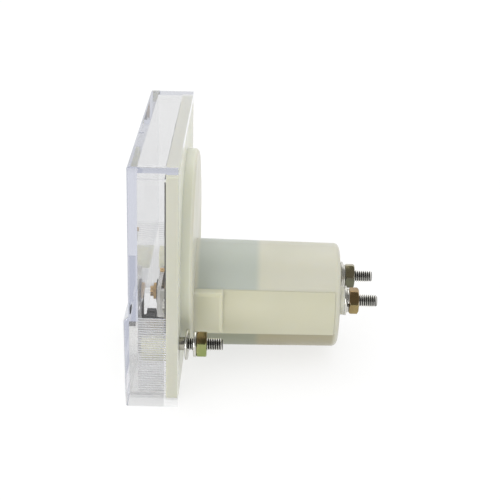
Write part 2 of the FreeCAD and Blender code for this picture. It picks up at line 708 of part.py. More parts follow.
def coil_winding():
    frame = coil_frame(FORMER_OUT, WINDING_OUT, FORMER_FRONT, FORMER_BACK, COIL_FRONT, COIL_BACK)
    corners = [
        e
        for e in frame.Edges
        if e.BoundBox.YLength < SAME
        and e.BoundBox.ZLength < SAME
        and abs(abs(e.CenterOfMass.z - AXIS_Z) - WINDING_OUT) < SAME
    ]
    return at_zero(frame.makeFillet(WINDING_CORNER_R, corners))


def staff(foot, end, spring_y):
    """A pivot staff: foot on the coil, shaft, collet for the hairspring, and a fine pivot."""
    outward = 1 if end > foot else -1

    def stretch(radius, start, stop):
        return rod(radius, min(start, stop), max(start, stop), z=AXIS_Z)

    collet_inner = spring_y - PIVOT_END_CLEAR / 2
    collet_outer = spring_y + SPRING_W + PIVOT_END_CLEAR / 2
    body = stretch(STAFF_FOOT_R, foot, foot + outward * STAFF_FOOT_T)
    return body.fuse(
        [
            stretch(STAFF_R, foot, end),
            stretch(COLLET_R, collet_inner, collet_outer),
            stretch(PIVOT_R, end, end + outward * PIVOT_L),
        ]
    )


def front_staff():
    return staff(COIL_FRONT, FRONT_STAFF_END, FRONT_SPRING_Y)


def rear_staff():
    return staff(COIL_BACK, REAR_STAFF_END, REAR_SPRING_Y)


def pointer():
    """One thin stamping: tapered blade, hub, tail and two cross arms."""
    front = POINTER_Y
    back = POINTER_Y + POINTER_T
    half_root = POINTER_ROOT_W / 2
    half_tip = POINTER_TIP_W / 2
    blade = prism(
        [
            Vector(-half_root, 0, 0),
            Vector(half_root, 0, 0),
            Vector(half_tip, 0, POINTER_L - half_tip),
            Vector(0, 0, POINTER_L),
            Vector(-half_tip, 0, POINTER_L - half_tip),
        ],
        Vector(0, front, AXIS_Z),
        BACK * POINTER_T,
    )
    hub = rod(HUB_R, front, back, z=AXIS_Z)
    tail = block(ARM_W / 2, front, back, AXIS_Z - TAIL_L, AXIS_Z)
    arms = block(CROSS_ARM_L, front, back, AXIS_Z - ARM_W / 2, AXIS_Z + ARM_W / 2)
    body = blade.fuse([hub, tail, arms])
    return at_zero(body.cut(rod(STAFF_R + THREAD_CLEAR, front, back, z=AXIS_Z)))


def balance_weights():
    """Three small collars, one on the tail and one on each cross arm."""
    middle = POINTER_Y + POINTER_T / 2
    bore = math.hypot(ARM_W, POINTER_T) / 2 + WEIGHT_CLEAR
    weights = []
    for reach, direction, radius, length in (
        (TAIL_L, 180, TAIL_WEIGHT_R, TAIL_WEIGHT_L),
        (CROSS_ARM_L, 90, WEIGHT_R, WEIGHT_L),
        (CROSS_ARM_L, -90, WEIGHT_R, WEIGHT_L),
    ):
        start = Vector(0, middle, AXIS_Z + reach - WEIGHT_TIP - length)
        collar = Part.makeCylinder(radius, length, start, Vector(0, 0, 1))
        collar = collar.cut(Part.makeCylinder(bore, length, start, Vector(0, 0, 1)))
        weights.append(at_zero(turned(collar, direction)))
    return Part.makeCompound(weights)


def spiral(radius, grow, z_side):
    """Half circles, each grow wider than the last, that join into a flat spiral about the axis."""
    arcs = []
    end = radius
    for k in range(SPRING_HALF_TURNS):
        side = -z_side if k % 2 else z_side
        far = end + grow
        middle = Vector((end - far) / 2, 0, AXIS_Z + side * (end + far) / 2)
        ends = [Vector(end, 0, AXIS_Z), Vector(-far, 0, AXIS_Z)]
        if k % 2:
            middle.x = -middle.x
            ends = [Vector(-p.x, 0, p.z) for p in ends]
        arcs.append(Part.Arc(ends[0], middle, ends[1]).toShape())
        end = far
    return arcs, ends[1]


def hairspring(front, anchor_deg):
    """A flat spiral ribbon from the collet out to its anchor, at anchor_deg up from +X."""
    inner_r = COLLET_R + THREAD_CLEAR
    grow = (SPRING_R - SPRING_T - inner_r) / SPRING_HALF_TURNS
    inside, inside_end = spiral(inner_r, grow, 1)
    outside, outside_end = spiral(inner_r + SPRING_T, grow, 1)
    ends = [
        Part.LineSegment(Vector(inner_r, 0, AXIS_Z), Vector(inner_r + SPRING_T, 0, AXIS_Z)).toShape(),
        Part.LineSegment(inside_end, outside_end).toShape(),
    ]
    wire = Part.Wire(Part.__sortEdges__(inside + outside + ends))
    body = Part.Face(wire).extrude(BACK * SPRING_W)
    body.translate(BACK * front)
    own_deg = 180 if SPRING_HALF_TURNS % 2 else 0
    return turned(body, own_deg - anchor_deg)


# Zero adjuster

def zero_lever():
    """A black moulding that turns on the front lock nut's hub and ends in a fork."""
    back = FRONT_STRAP_Y - LEVER_PLAY
    front = back - LEVER_T
    top = AXIS_Z - FORK_TOP
    foot = top - FORK_H
    step = LEVER_FRONT - FORK_STEP_REACH
    body = rod(LEVER_RING_R, front, back, z=AXIS_Z)
    body = body.fuse(block(LEVER_ARM_W / 2, front, back, top - FORK_H / 2, AXIS_Z))
    fork = prism(
        [
            Vector(0, FORK_FRONT, foot),
            Vector(0, FORK_BACK, foot),
            Vector(0, FORK_BACK, top - FORK_STEP_H),
            Vector(0, step, top - FORK_STEP_H),
            Vector(0, step, top),
            Vector(0, FORK_FRONT, top),
        ],
        Vector(-FORK_HALF_W, 0, 0),
        Vector(2 * FORK_HALF_W, 0, 0),
    )
    slot_half = CRANK_PIN_R + CRANK_PIN_CLEAR
    fork = fork.cut(block(slot_half, FORK_FRONT, CRANK_PIN_END + CRANK_PIN_END_CLEAR, foot, top))
    return body.fuse(fork).cut(rod(LOCK_HUB_R + ADJUSTER_CLEAR, front, back, z=AXIS_Z))


def front_spring_arm():
    """A brass strip on the fork's back that holds the front hairspring's outer end."""
    top = AXIS_Z - SPRING_R - THREAD_CLEAR
    return block(SPRING_ARM_W / 2, FORK_BACK, FORK_BACK + SPRING_ARM_T, AXIS_Z - FORK_TOP - FORK_H, top)


def adjuster_front():
    """Front end of the zero screw, just under the lower zone's sloping face."""
    share = (BAND_TOP_Z - AXIS_Z) / BAND_H
    proud = BAND_PROUD_TOP + share * (BAND_PROUD_FOOT - BAND_PROUD_TOP)
    return WINDOW_Y - proud + ADJUSTER_RECESS


def zero_adjust_screw():
    """A slotted screw in the cover, with a flange and a crank whose pin enters the fork."""
    flange_front = BAND_BACK_Y + ADJUSTER_CLEAR
    flange_back = flange_front + CRANK_T
    body = rod(ADJUSTER_R, adjuster_front(), flange_back, z=AXIS_Z)
    body = slotted(body, ADJUSTER_SLOT_W, SLOT_DEPTH, adjuster_front(), 1)
    pin_z = AXIS_Z - CRANK_PIN_DROP
    return body.fuse(
        [
            rod(ADJUSTER_FLANGE_R, flange_front, flange_back, z=AXIS_Z),
            block(CRANK_W / 2, flange_front, flange_back, pin_z, AXIS_Z),
            rod(CRANK_W / 2, flange_front, flange_back, z=pin_z),
            rod(CRANK_PIN_R, flange_front, CRANK_PIN_END, z=pin_z),
        ]
    )


# Wiring

def anchor_bush():
    """An insulating bush through the rear bridge, with a lip at each side."""
    front_lip = REAR_STRAP_Y - BUSH_LIP_T
    back_lip = REAR_STRAP_BACK + BUSH_LIP_T
    body = rod(BUSH_R, REAR_STRAP_Y, REAR_STRAP_BACK, ANCHOR_X, AXIS_Z)
    lips = [
        rod(BUSH_LIP_R, front_lip, REAR_STRAP_Y, ANCHOR_X, AXIS_Z),
        rod(BUSH_LIP_R, REAR_STRAP_BACK, back_lip, ANCHOR_X, AXIS_Z),
    ]
    return body.fuse(lips).cut(rod(WIRE_R, front_lip, back_lip, ANCHOR_X, AXIS_Z))


def rear_spring_anchor():
    """A brass pin in the bush that holds the rear hairspring's outer end."""
    return rod(WIRE_R, REAR_SPRING_Y, REAR_STRAP_BACK + ANCHOR_TAIL, ANCHOR_X, AXIS_Z)


def series_resistor():
    """A small axial resistor: dog-bone body and two wires bent square, as one piece."""
    y = REAR_STRAP_BACK + RESISTOR_BEHIND
    left = Vector(ANCHOR_X, y, AXIS_Z)
    right = Vector(LUG_EYE_X, y, LUG_EYE_Z)
    along = (right - left).normalize()
    start = (left + right) * 0.5 - along * (RESISTOR_L / 2)
    body = Part.makeCylinder(RESISTOR_WAIST_R, RESISTOR_L, start, along)
    for place in (start, start + along * (RESISTOR_L - RESISTOR_CAP_L)):
        body = body.fuse(Part.makeCylinder(RESISTOR_R, RESISTOR_CAP_L, place, along))
    front_end = Vector(ANCHOR_X, REAR_STRAP_BACK + ANCHOR_TAIL, AXIS_Z)
    back_end = Vector(LUG_EYE_X, CHAMBER_BACK + WIRE_TAIL - LUG_T, LUG_EYE_Z)
    path = Part.makePolygon([front_end, left, right, back_end])
    section = Part.Wire([Part.makeCircle(WIRE_R, front_end, BACK)])
    return body.fuse(path.makePipeShell([section], True, False, 1))


def ground_lead():
    """A sleeved wire from the left lug to the rear bridge."""
    back_end = CHAMBER_BACK + WIRE_TAIL - LUG_T
    sleeve_front = REAR_STRAP_BACK + SLEEVE_BARE
    sleeve_back = CHAMBER_BACK - LUG_T - SLEEVE_BARE
    wire = rod(WIRE_R, REAR_STRAP_BACK, back_end, -LUG_EYE_X, LUG_EYE_Z)
    return wire.fuse(rod(SLEEVE_R, sleeve_front, sleeve_back, -LUG_EYE_X, LUG_EYE_Z))


def terminal_lug(side):
    """A flat tag under the terminal stud's head, with an eye for its wire."""
    front = CHAMBER_BACK - LUG_T
    x = side * TERMINAL_X
    eye_x = side * LUG_EYE_X
    run = math.hypot(x - eye_x, TERMINAL_Z - LUG_EYE_Z)
    lean = math.degrees(math.atan2(eye_x - x, TERMINAL_Z - LUG_EYE_Z))
    tail = block(LUG_TAIL_W / 2, front, CHAMBER_BACK, TERMINAL_Z - run, TERMINAL_Z, x)
    tail.rotate(Vector(x, 0, TERMINAL_Z), BACK, -lean)
    body = rod(LUG_R, front, CHAMBER_BACK, x, TERMINAL_Z)
    body = body.fuse([tail, rod(LUG_TAIL_W / 2, front, CHAMBER_BACK, eye_x, LUG_EYE_Z)])
    body = body.cut(rod(STUD_R + THREAD_CLEAR, front, CHAMBER_BACK, x, TERMINAL_Z))
    return body.cut(rod(LUG_EYE_R, front, CHAMBER_BACK, eye_x, LUG_EYE_Z))


# M3 studs, nuts and washers

def stud(x, z, nut_front, end):
    """The threaded part of a stud, from the panel side of its nut to a chamfered end."""
    nut_back = nut_front + NUT_T
    shank = rod(STUD_PITCH_R, nut_front, nut_back, x, z)
    free = rod(STUD_R, nut_back, end, x, z)
    return shank.fuse(free.makeChamfer(STUD_CHAMFER, end_edges(free, end)))


def terminal_stud(side):
    """A brass screw through the barrel's end, its head inside on the lug."""
    x = side * TERMINAL_X
    seat = CHAMBER_BACK - LUG_T
    head = rod(STUD_HEAD_R, seat - STUD_HEAD_T, seat, x, TERMINAL_Z)
    root = rod(STUD_R, seat, TERMINAL_NUT_Y, x, TERMINAL_Z)
    end = TERMINAL_NUT_Y + NUT_T + TERMINAL_FREE
    return head.fuse([root, stud(x, TERMINAL_Z, TERMINAL_NUT_Y, end)])


def mounting_stud(side):
    """A steel screw moulded into the flange, with a plain shank where it leaves the flange."""
    x = side * MOUNT_X
    head = rod(MOUNT_HEAD_R, -FLANGE_T, MOUNT_HEAD_T - FLANGE_T, x, MOUNT_Z)
    inside = rod(STUD_R, MOUNT_HEAD_T - FLANGE_T, 0, x, MOUNT_Z)
    shank = rod(MOUNT_SHANK_R, 0, MOUNT_SHANK_L, x, MOUNT_Z)
    thread = rod(STUD_R, MOUNT_SHANK_L, MOUNT_NUT_Y, x, MOUNT_Z)
    end = MOUNT_NUT_Y + NUT_T + MOUNT_FREE
    return head.fuse([inside, shank, thread, stud(x, MOUNT_Z, MOUNT_NUT_Y, end)])


def nut(x, z, front, turn_deg):
    return hexagon(NUT_AF, STUD_PITCH_R + NUT_CLEAR, front, front + NUT_T, x, z, turn_deg)


def lock_washer(x, z, front, back, outer_r, open_side):
    """A split spring washer, its slit on the given side."""
    ring = tube(outer_r, LOCK_WASHER_BORE_R, front, back, x, z)
    half_slit = LOCK_WASHER_SLIT / 2
    slit = block(outer_r / 2, front, back, z - half_slit, z + half_slit, x + open_side * outer_r)
    return ring.cut(slit)


def terminal_washer(side):
    back = TERMINAL_BOSS_BACK + WASHER_T
    return tube(WASHER_R, STUD_R + NUT_CLEAR, TERMINAL_BOSS_BACK, back, side * TERMINAL_X, TERMINAL_Z)


def terminal_lock_washer(side):
    front = TERMINAL_BOSS_BACK + WASHER_T
    return lock_washer(side * TERMINAL_X, TERMINAL_Z, front, TERMINAL_NUT_Y, LOCK_WASHER_R, side)


def terminal_nut(side):
    turn_deg = RIGHT_TERMINAL_NUT_DEG if side > 0 else LEFT_TERMINAL_NUT_DEG
    return nut(side * TERMINAL_X, TERMINAL_Z, TERMINAL_NUT_Y, turn_deg)


def mounting_washer(side):
    """A loose flat washer that hangs a little askew on the stud."""
    x = side * MOUNT_X
    z = MOUNT_Z - MOUNT_WASHER_DROP
    front = MOUNT_WASHER_Y - WASHER_T / 2
    washer = tube(WASHER_R, WASHER_BORE_R, front, front + WASHER_T, x, z)
    washer.rotate(Vector(x, MOUNT_WASHER_Y, z), Vector(0, 0, 1), -side * MOUNT_WASHER_SWING_DEG)
    return washer


def mounting_lock_washer(side):
    front = MOUNT_NUT_Y - MOUNT_LOCK_WASHER_T
    return lock_washer(side * MOUNT_X, MOUNT_Z, front, MOUNT_NUT_Y, MOUNT_LOCK_WASHER_R, -side)


def mounting_nut(side):
    return nut(side * MOUNT_X, MOUNT_Z, MOUNT_NUT_Y, MOUNT_NUT_DEG)


NODES = {
    "front_cover": front_cover,
    "base_housing": base_housing,
    "dial_plate": dial_plate,
    "dial_screws": lambda: pair(dial_screw),
    "pointer_stops": lambda: pair(pointer_stop),
    "return_ring": return_ring,
    "core_magnet": core_magnet,
    "core_spacers": lambda: pair(core_spacer),
    "front_bridge": front_bridge,
    "rear_bridge": rear_bridge,
    "bridge_screws": lambda: pair(bridge_screw),
    "frame_screws": lambda: pair(frame_screw),
    "front_jewel_screw": front_jewel_screw,
    "rear_jewel_screw": rear_jewel_screw,
    "front_lock_nut": front_lock_nut,
    "rear_lock_nut": rear_lock_nut,
    "coil_former": coil_former,
    "coil_winding": coil_winding,
    "front_staff": front_staff,
    "rear_staff": rear_staff,
    "pointer": pointer,
    "balance_weights": balance_weights,
    "front_hairspring": lambda: hairspring(FRONT_SPRING_Y, -90),
    "rear_hairspring": lambda: hairspring(REAR_SPRING_Y, -180),
    "zero_lever": zero_lever,
    "front_spring_arm": front_spring_arm,
    "zero_adjust_screw": zero_adjust_screw,
    "anchor_bush": anchor_bush,
    "rear_spring_anchor": rear_spring_anchor,
    "series_resistor": series_resistor,
    "ground_lead": ground_lead,
    "terminal_lugs": lambda: pair(terminal_lug),
    "terminal_studs": lambda: pair(terminal_stud),
    "terminal_washers": lambda: pair(terminal_washer),
    "terminal_lock_washers": lambda: pair(terminal_lock_washer),
    "terminal_nuts": lambda: pair(terminal_nut),
    "mounting_studs": lambda: pair(mounting_stud),
    "mounting_washers": lambda: pair(mounting_washer),
    "mounting_lock_washers": lambda: pair(mounting_lock_washer),
    "mounting_nuts": lambda: pair(mounting_nut),
}

os.makedirs("parts", exist_ok=True)
for name, make in NODES.items():
    shape = make()
    if not shape.isValid():
        print("not valid:", name)
    shape.exportStep("parts/" + name + ".step")
    print(name, len(shape.Solids), "solids", round(shape.Volume, 2), "mm3")
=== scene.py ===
import bmesh
import bpy
import math
from mathutils import Matrix, Vector


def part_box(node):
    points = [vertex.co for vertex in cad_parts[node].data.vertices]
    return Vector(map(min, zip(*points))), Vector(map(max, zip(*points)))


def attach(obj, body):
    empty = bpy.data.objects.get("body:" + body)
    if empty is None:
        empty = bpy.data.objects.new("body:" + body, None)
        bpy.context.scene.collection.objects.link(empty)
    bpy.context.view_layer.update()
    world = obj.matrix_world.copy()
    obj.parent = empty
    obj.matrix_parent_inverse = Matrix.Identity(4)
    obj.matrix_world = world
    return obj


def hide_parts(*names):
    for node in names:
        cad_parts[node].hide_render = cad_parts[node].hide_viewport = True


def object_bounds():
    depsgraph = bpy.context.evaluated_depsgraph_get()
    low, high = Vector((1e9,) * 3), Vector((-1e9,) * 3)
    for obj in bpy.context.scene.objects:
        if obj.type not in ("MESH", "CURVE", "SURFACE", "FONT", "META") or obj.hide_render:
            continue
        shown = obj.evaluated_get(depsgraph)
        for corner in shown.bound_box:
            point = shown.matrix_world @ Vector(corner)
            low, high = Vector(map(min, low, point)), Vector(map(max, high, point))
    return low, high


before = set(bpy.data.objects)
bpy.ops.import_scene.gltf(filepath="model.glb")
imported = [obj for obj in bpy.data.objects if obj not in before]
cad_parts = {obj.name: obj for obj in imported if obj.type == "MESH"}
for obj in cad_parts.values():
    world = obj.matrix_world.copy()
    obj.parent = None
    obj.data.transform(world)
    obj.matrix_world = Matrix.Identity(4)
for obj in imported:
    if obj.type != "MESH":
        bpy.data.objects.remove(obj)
cad_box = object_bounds()


# Base moulding
# One cream moulding of natural plastic: flange, stud bosses, spigot, round barrel, terminal bosses.
# Light goes a little way into it; the iron ring's shade through the barrel's thin wall is painted on.

MM = 0.001
MICRON = 0.000001
AXIS_Z = -11.0 * MM         # height of the pointer's and barrel's axis
FLANK_DEG = 25.5            # the barrel's thick flanks reach this far from level
FLANK_EDGE = (-0.1 * MM, 0.25 * MM)
MIDDLE = (AXIS_Z - 1.0 * MM, AXIS_Z + 1.0 * MM)
SEAT = (-0.2 * MM, 0.0)     # this pair and the next ones: where a tone starts and ends along Y
SPIGOT_END = (1.8 * MM, 2.5 * MM)
RING_FRONT = (2.7 * MM, 3.9 * MM)
ROOT_END = (9.3 * MM, 9.7 * MM)
REAR_HALF = (9.0 * MM, 24.0 * MM)
RING_BACK = (16.4 * MM, 18.4 * MM)
BARREL_END = (35.0 * MM, 36.3 * MM)
PAINTED_RIM_SHADE = (0.94, 0.95, 0.95)
PAINTED_RECESS_LIGHT = (1.12, 1.15, 1.18)
PAINTED_RING_SHADE = (0.775, 0.845, 0.92)
PAINTED_UNDERSIDE_SHADE = (0.62, 0.575, 0.45)
PAINTED_RING_SHADE_BELOW = (0.77, 0.88, 0.99)
PAINTED_FLANK_SHADE = (0.97, 0.965, 0.88)
PAINTED_ROOT_LIGHT = (1.08, 1.09, 1.12)
PAINTED_REAR_SHADE = (0.89, 0.89, 0.895)
PATCH_SPREAD = (0.35, 0.65)   # the parts of a noise's range over which a finish changes
GLOSS_SPREAD = (0.3, 0.7)
RUB_SPREAD = (0.35, 0.55)
EDGE_TURN = (0.85, 0.99)      # cosine between a face and its rounded edge


def plug(tree, socket, value):
    """Links a socket, or sets it to a plain value."""
    if isinstance(value, bpy.types.NodeSocket):
        tree.links.new(value, socket)
    else:
        socket.default_value = value


def node(tree, kind, *values, settings=None, **sockets):
    """A shader node. Plain values go to its first inputs, named ones to the inputs of that name."""
    made = tree.nodes.new("ShaderNode" + kind)
    for name, value in (settings or {}).items():
        setattr(made, name, value)
    for place, value in enumerate(values):
        plug(tree, made.inputs[place], value)
    for name, value in sockets.items():
        plug(tree, made.inputs[name.replace("_", " ")], value)
    return made


def reckon(tree, operation, *values):
    return node(tree, "Math", *values, settings={"operation": operation}).outputs[0]


def all_of(tree, first, *others):
    """The product of several masks."""
    for mask in others:
        first = reckon(tree, "MULTIPLY", first, mask)
    return first


def outside(tree, mask):
    """1 where a mask is 0."""
    return reckon(tree, "SUBTRACT", 1.0, mask)


def apart(tree, value, middle):
    """How far a value lies from the middle, either way."""
    return reckon(tree, "ABSOLUTE", reckon(tree, "SUBTRACT", value, middle))


def fade(tree, value, start, end, first=0.0, last=1.0):
    """first below start and last above end, with a soft change between."""
    soft = {"interpolation_type": "SMOOTHSTEP"}
    return node(tree, "MapRange", value, start, end, first, last, settings=soft).outputs[0]


def blend(tree, share, first, second, how="MIX"):
    """Colour between first and second."""
    made = node(tree, "Mix", share, settings={"data_type": "RGBA", "blend_type": how})
    for socket, value in zip(made.inputs[6:8], (first, second)):
        plug(tree, socket, value if isinstance(value, bpy.types.NodeSocket) else (*value, 1))
    return made.outputs[2]


def place_of(tree):
    """The place on the piece, in the meter's own frame."""
    return node(tree, "TexCoord").outputs["Object"]


def axes_of(tree):
    return node(tree, "SeparateXYZ", place_of(tree)).outputs


def new_group(name, inputs, outputs):
    """An empty shader group with its sockets, and its input and output nodes."""
    group = bpy.data.node_groups.new(name, "ShaderNodeTree")
    for side, ports in (("INPUT", inputs), ("OUTPUT", outputs)):
        for port, kind in ports:
            group.interface.new_socket(port, in_out=side, socket_type="NodeSocket" + kind)
    return group, group.nodes.new("NodeGroupInput").outputs, group.nodes.new("NodeGroupOutput").inputs


def worked_surface():
    """Uneven colour and gloss, fine grain, tool marks and an edge colour, by place on the piece. The edge
    colour is wear on most finishes and a painted dark outline on zinc.
    """
    group, given, result = new_group(
        "worked_surface",
        (
            ("Clean", "Color"), ("Worn", "Color"), ("Edge", "Color"), ("Patch Scale", "Float"),
            ("Glossy", "Float"), ("Dull", "Float"), ("Grain Scale", "Float"), ("Grain Height", "Float"),
            ("Edge Size", "Float"), ("Marks", "Float"), ("Marks Height", "Float"),
        ),
        (("Colour", "Color"), ("Gloss", "Float"), ("Normal", "Vector")),
    )
    place = place_of(group)
    patches = node(group, "TexNoise", Vector=place, Scale=given["Patch Scale"], Detail=4.0).outputs["Fac"]
    grain = node(group, "TexNoise", Vector=place, Scale=given["Grain Scale"], Detail=3.0).outputs["Fac"]
    rounded = node(group, "Bevel", Radius=given["Edge Size"], settings={"samples": 4}).outputs["Normal"]
    facing = node(group, "NewGeometry").outputs["Normal"]
    turned = node(group, "VectorMath", rounded, facing, settings={"operation": "DOT_PRODUCT"})
    edge = fade(group, turned.outputs["Value"], *EDGE_TURN, 1.0, 0.0)
    edge_wear_and_outline = all_of(group, edge, fade(group, patches, *RUB_SPREAD))
    colour = blend(group, fade(group, patches, *PATCH_SPREAD), given["Clean"], given["Worn"])
    plug(group, result["Colour"], blend(group, edge_wear_and_outline, colour, given["Edge"]))
    plug(group, result["Gloss"], fade(group, patches, *GLOSS_SPREAD, given["Glossy"], given["Dull"]))
    rise = reckon(group, "MULTIPLY", grain, given["Grain Height"])
    cut = reckon(group, "MULTIPLY_ADD", given["Marks"], given["Marks Height"], rise)
    plug(group, result["Normal"], node(group, "Bump", Height=cut, Distance=1.0, Normal=rounded).outputs[0])
    return group


WORKED = worked_surface()


def finish(
    name, clean, worn, edge, metallic, gloss, patches, grain, edge_size, marks=None, marks_height=0.0
):
    """A material for one finish of this meter.

    gloss is the roughness where polished and where dull, patches the scale of the uneven areas,
    grain the scale and height of the grain, and edge_size how wide the edge colour reaches.
    """
    material = bpy.data.materials.new(name)
    material.use_nodes = True
    tree = material.node_tree
    shader = tree.nodes["Principled BSDF"]
    shader.inputs["Metallic"].default_value = metallic
    surface = tree.nodes.new("ShaderNodeGroup")
    surface.node_tree = WORKED
    values = ((*clean, 1), (*worn, 1), (*edge, 1), patches, *gloss, *grain, edge_size)
    for socket, value in zip(surface.inputs, values):
        socket.default_value = value
    if marks:
        plug(tree, surface.inputs["Marks"], marks(tree))
        surface.inputs["Marks Height"].default_value = marks_height
    for port, socket in (("Base Color", "Colour"), ("Roughness", "Gloss"), ("Normal", "Normal")):
        plug(tree, shader.inputs[port], surface.outputs[socket])
    return material


def recolour(material, share, tint, how="MULTIPLY"):
    """Tints the finish where share is 1, or covers it if how is MIX."""
    tree = material.node_tree
    colour = tree.nodes["Principled BSDF"].inputs["Base Color"]
    plug(tree, colour, blend(tree, share, colour.links[0].from_socket, tint, how))


def dress(material, *names):
    """Gives CAD nodes their finish."""
    for name in names:
        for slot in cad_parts[name].material_slots:
            slot.material = material


cream = finish(
    "cream_moulding", metallic=0.0,
    clean=(0.625, 0.615, 0.515), worn=(0.605, 0.598, 0.488), edge=(0.66, 0.65, 0.56),
    gloss=(0.30, 0.42), patches=60, grain=(1600, 6 * MICRON), edge_size=0.25 * MM,
)
cream_tree = cream.node_tree
cream_shader = cream_tree.nodes["Principled BSDF"]
cream_shader.inputs["Subsurface Weight"].default_value = 0.5
cream_shader.inputs["Subsurface Radius"].default_value = (1.0, 0.9, 0.6)
cream_shader.inputs["Subsurface Scale"].default_value = 1.5 * MM

across, back, rise = axes_of(cream_tree)
sideways = reckon(cream_tree, "ABSOLUTE", across)
flank = reckon(cream_tree, "MULTIPLY", sideways, math.tan(math.radians(FLANK_DEG)))
past_flank = reckon(cream_tree, "SUBTRACT", apart(cream_tree, rise, AXIS_Z), flank)
thin_wall = fade(cream_tree, past_flank, *FLANK_EDGE)
above = fade(cream_tree, rise, *MIDDLE)
below = all_of(cream_tree, thin_wall, outside(cream_tree, above))
before_end = fade(cream_tree, back, *BARREL_END, 1.0, 0.0)
along_barrel = all_of(cream_tree, fade(cream_tree, back, *RING_FRONT), before_end)
over_ring = all_of(cream_tree, along_barrel, fade(cream_tree, back, *RING_BACK, 1.0, 0.0))
thick_wall = all_of(cream_tree, along_barrel, outside(cream_tree, thin_wall))
root_block = all_of(cream_tree, thick_wall, fade(cream_tree, back, *ROOT_END, 1.0, 0.0))
behind_seat = fade(cream_tree, back, *SEAT)
recess = all_of(cream_tree, behind_seat, fade(cream_tree, back, *SPIGOT_END, 1.0, 0.0))
# Painted shade: the iron ring's grey-blue shade through the thin wall above the axis
recolour(cream, all_of(cream_tree, over_ring, thin_wall, above), PAINTED_RING_SHADE)
# Painted shade: darker and yellower under the barrel
recolour(cream, all_of(cream_tree, along_barrel, below), PAINTED_UNDERSIDE_SHADE)
# Painted shade: the iron ring's shade through the thin wall below the axis
recolour(cream, all_of(cream_tree, over_ring, below), PAINTED_RING_SHADE_BELOW)
# Painted shade: a little darker and yellower on the thick flanks
recolour(cream, thick_wall, PAINTED_FLANK_SHADE)
# Painted light: lighter and cooler on the root block
recolour(cream, root_block, PAINTED_ROOT_LIGHT)
# Painted shade: darker towards the rear of the barrel
recolour(cream, fade(cream_tree, back, *REAR_HALF), PAINTED_REAR_SHADE)
# Painted light: lighter from the seat back to the spigot's end
recolour(cream, recess, PAINTED_RECESS_LIGHT)
# Painted shade: a little darker in front of the seat
recolour(cream, outside(cream_tree, behind_seat), PAINTED_RIM_SHADE)
dress(cream, "base_housing")


# Dial
# A thin plate with white enamel on its front, held to the flange by two screws. Its cut edge is bare
# and painted near black as shade. Its scale is printed in black: an arc, long and short strokes, and plain
# numbers.

DIAL_LOW, DIAL_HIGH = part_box("dial_plate")
DIAL_FACE_Y = DIAL_LOW.y
CUT_EDGE = 0.06 * MM
BARE_EDGE_SHADE = (0.02, 0.021, 0.018)
SMOOTH_DEG = 32
PRINT_T = 0.02 * MM
ARC_R = 31.0 * MM
ARC_W = 0.28 * MM
ARC_STEPS = 72
SCALE_DEG = 90
SCALE_STEPS = 50
STROKES = {10: (3.4 * MM, 0.34 * MM), 5: (2.4 * MM, 0.26 * MM), 1: (1.7 * MM, 0.18 * MM)}
NUMBER_R = 36.6 * MM
NUMBER_H = 4.0 * MM
CAP_SHARE = 0.7             # height of a figure for a text size of 1

enamel = finish(
    "dial_enamel", metallic=0.0,
    clean=(0.80, 0.80, 0.785), worn=(0.78, 0.78, 0.76), edge=(0.7, 0.7, 0.68),
    gloss=(0.42, 0.55), patches=90, grain=(3000, 3 * MICRON), edge_size=0.05 * MM,
)
enamel_tree = enamel.node_tree
enamel_place = axes_of(enamel_tree)
sideways = reckon(enamel_tree, "ABSOLUTE", enamel_place["X"])
cut_side = reckon(enamel_tree, "GREATER_THAN", sideways, DIAL_HIGH.x - CUT_EDGE)
cut_top = reckon(enamel_tree, "GREATER_THAN", enamel_place["Z"], DIAL_HIGH.z - CUT_EDGE)
# Bare cut edge, painted near black for the shade along it
recolour(enamel, reckon(enamel_tree, "MAXIMUM", cut_side, cut_top), BARE_EDGE_SHADE)
dress(enamel, "dial_plate")


def piece(name, bm, material, body):
    """A finished mesh that rides on a body."""
    bmesh.ops.recalc_face_normals(bm, faces=bm.faces)
    mesh = bpy.data.meshes.new(name)
    bm.to_mesh(mesh)
    bm.free()
    mesh.shade_smooth()
    mesh.set_sharp_from_angle(angle=math.radians(SMOOTH_DEG))
    mesh.materials.append(material)
    made = bpy.data.objects.new(name, mesh)
    bpy.context.collection.objects.link(made)
    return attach(made, body)


def add_to(bm, part):
    """Puts one bmesh into another."""
    passed = bpy.data.meshes.new("part")
    part.to_mesh(passed)
    part.free()
    bm.from_mesh(passed)
    bpy.data.meshes.remove(passed)


def sector(bm, inner, outer, start_deg, end_deg, steps):
    """A flat arc of the dial's print. Angles go clockwise from upright."""
    angle = math.radians(start_deg)
    ends = []
    for radius in (inner, outer):
        place = (radius * math.sin(angle), DIAL_FACE_Y, AXIS_Z + radius * math.cos(angle))
        ends.append(bm.verts.new(place))
    bmesh.ops.spin(
        bm, geom=ends + [bm.edges.new(ends)], cent=(0, 0, AXIS_Z), axis=(0, 1, 0), dvec=(0, 0, 0),
        angle=math.radians(end_deg - start_deg), steps=steps,
    )


def raise_print(bm):
    """Gives flat print its thickness towards the reader."""
    bmesh.ops.remove_doubles(bm, verts=bm.verts, dist=0.1 * MICRON)
    sides = bmesh.ops.extrude_face_region(bm, geom=bm.faces[:])
    lifted = [v for v in sides["geom"] if isinstance(v, bmesh.types.BMVert)]
    bmesh.ops.translate(bm, verts=lifted, vec=(0, -PRINT_T, 0))


def letter(bm, words, x, z, height):
    """Adds upright figures to the dial's print, centred on x and z."""
    curve = bpy.data.curves.new(words, "FONT")
    curve.body = words
    curve.size = height / CAP_SHARE
    curve.align_x = "CENTER"
    curve.align_y = "CENTER"
    holder = bpy.data.objects.new(words, curve)
    bpy.context.collection.objects.link(holder)
    shaped = holder.evaluated_get(bpy.context.evaluated_depsgraph_get())
    mesh = bpy.data.meshes.new_from_object(shaped)
    bpy.data.objects.remove(holder)
    upright = Matrix.Rotation(math.radians(90), 4, "X")
    mesh.transform(Matrix.Translation((x, DIAL_FACE_Y, z)) @ upright)
    bm.from_mesh(mesh)
    bpy.data.meshes.remove(mesh)


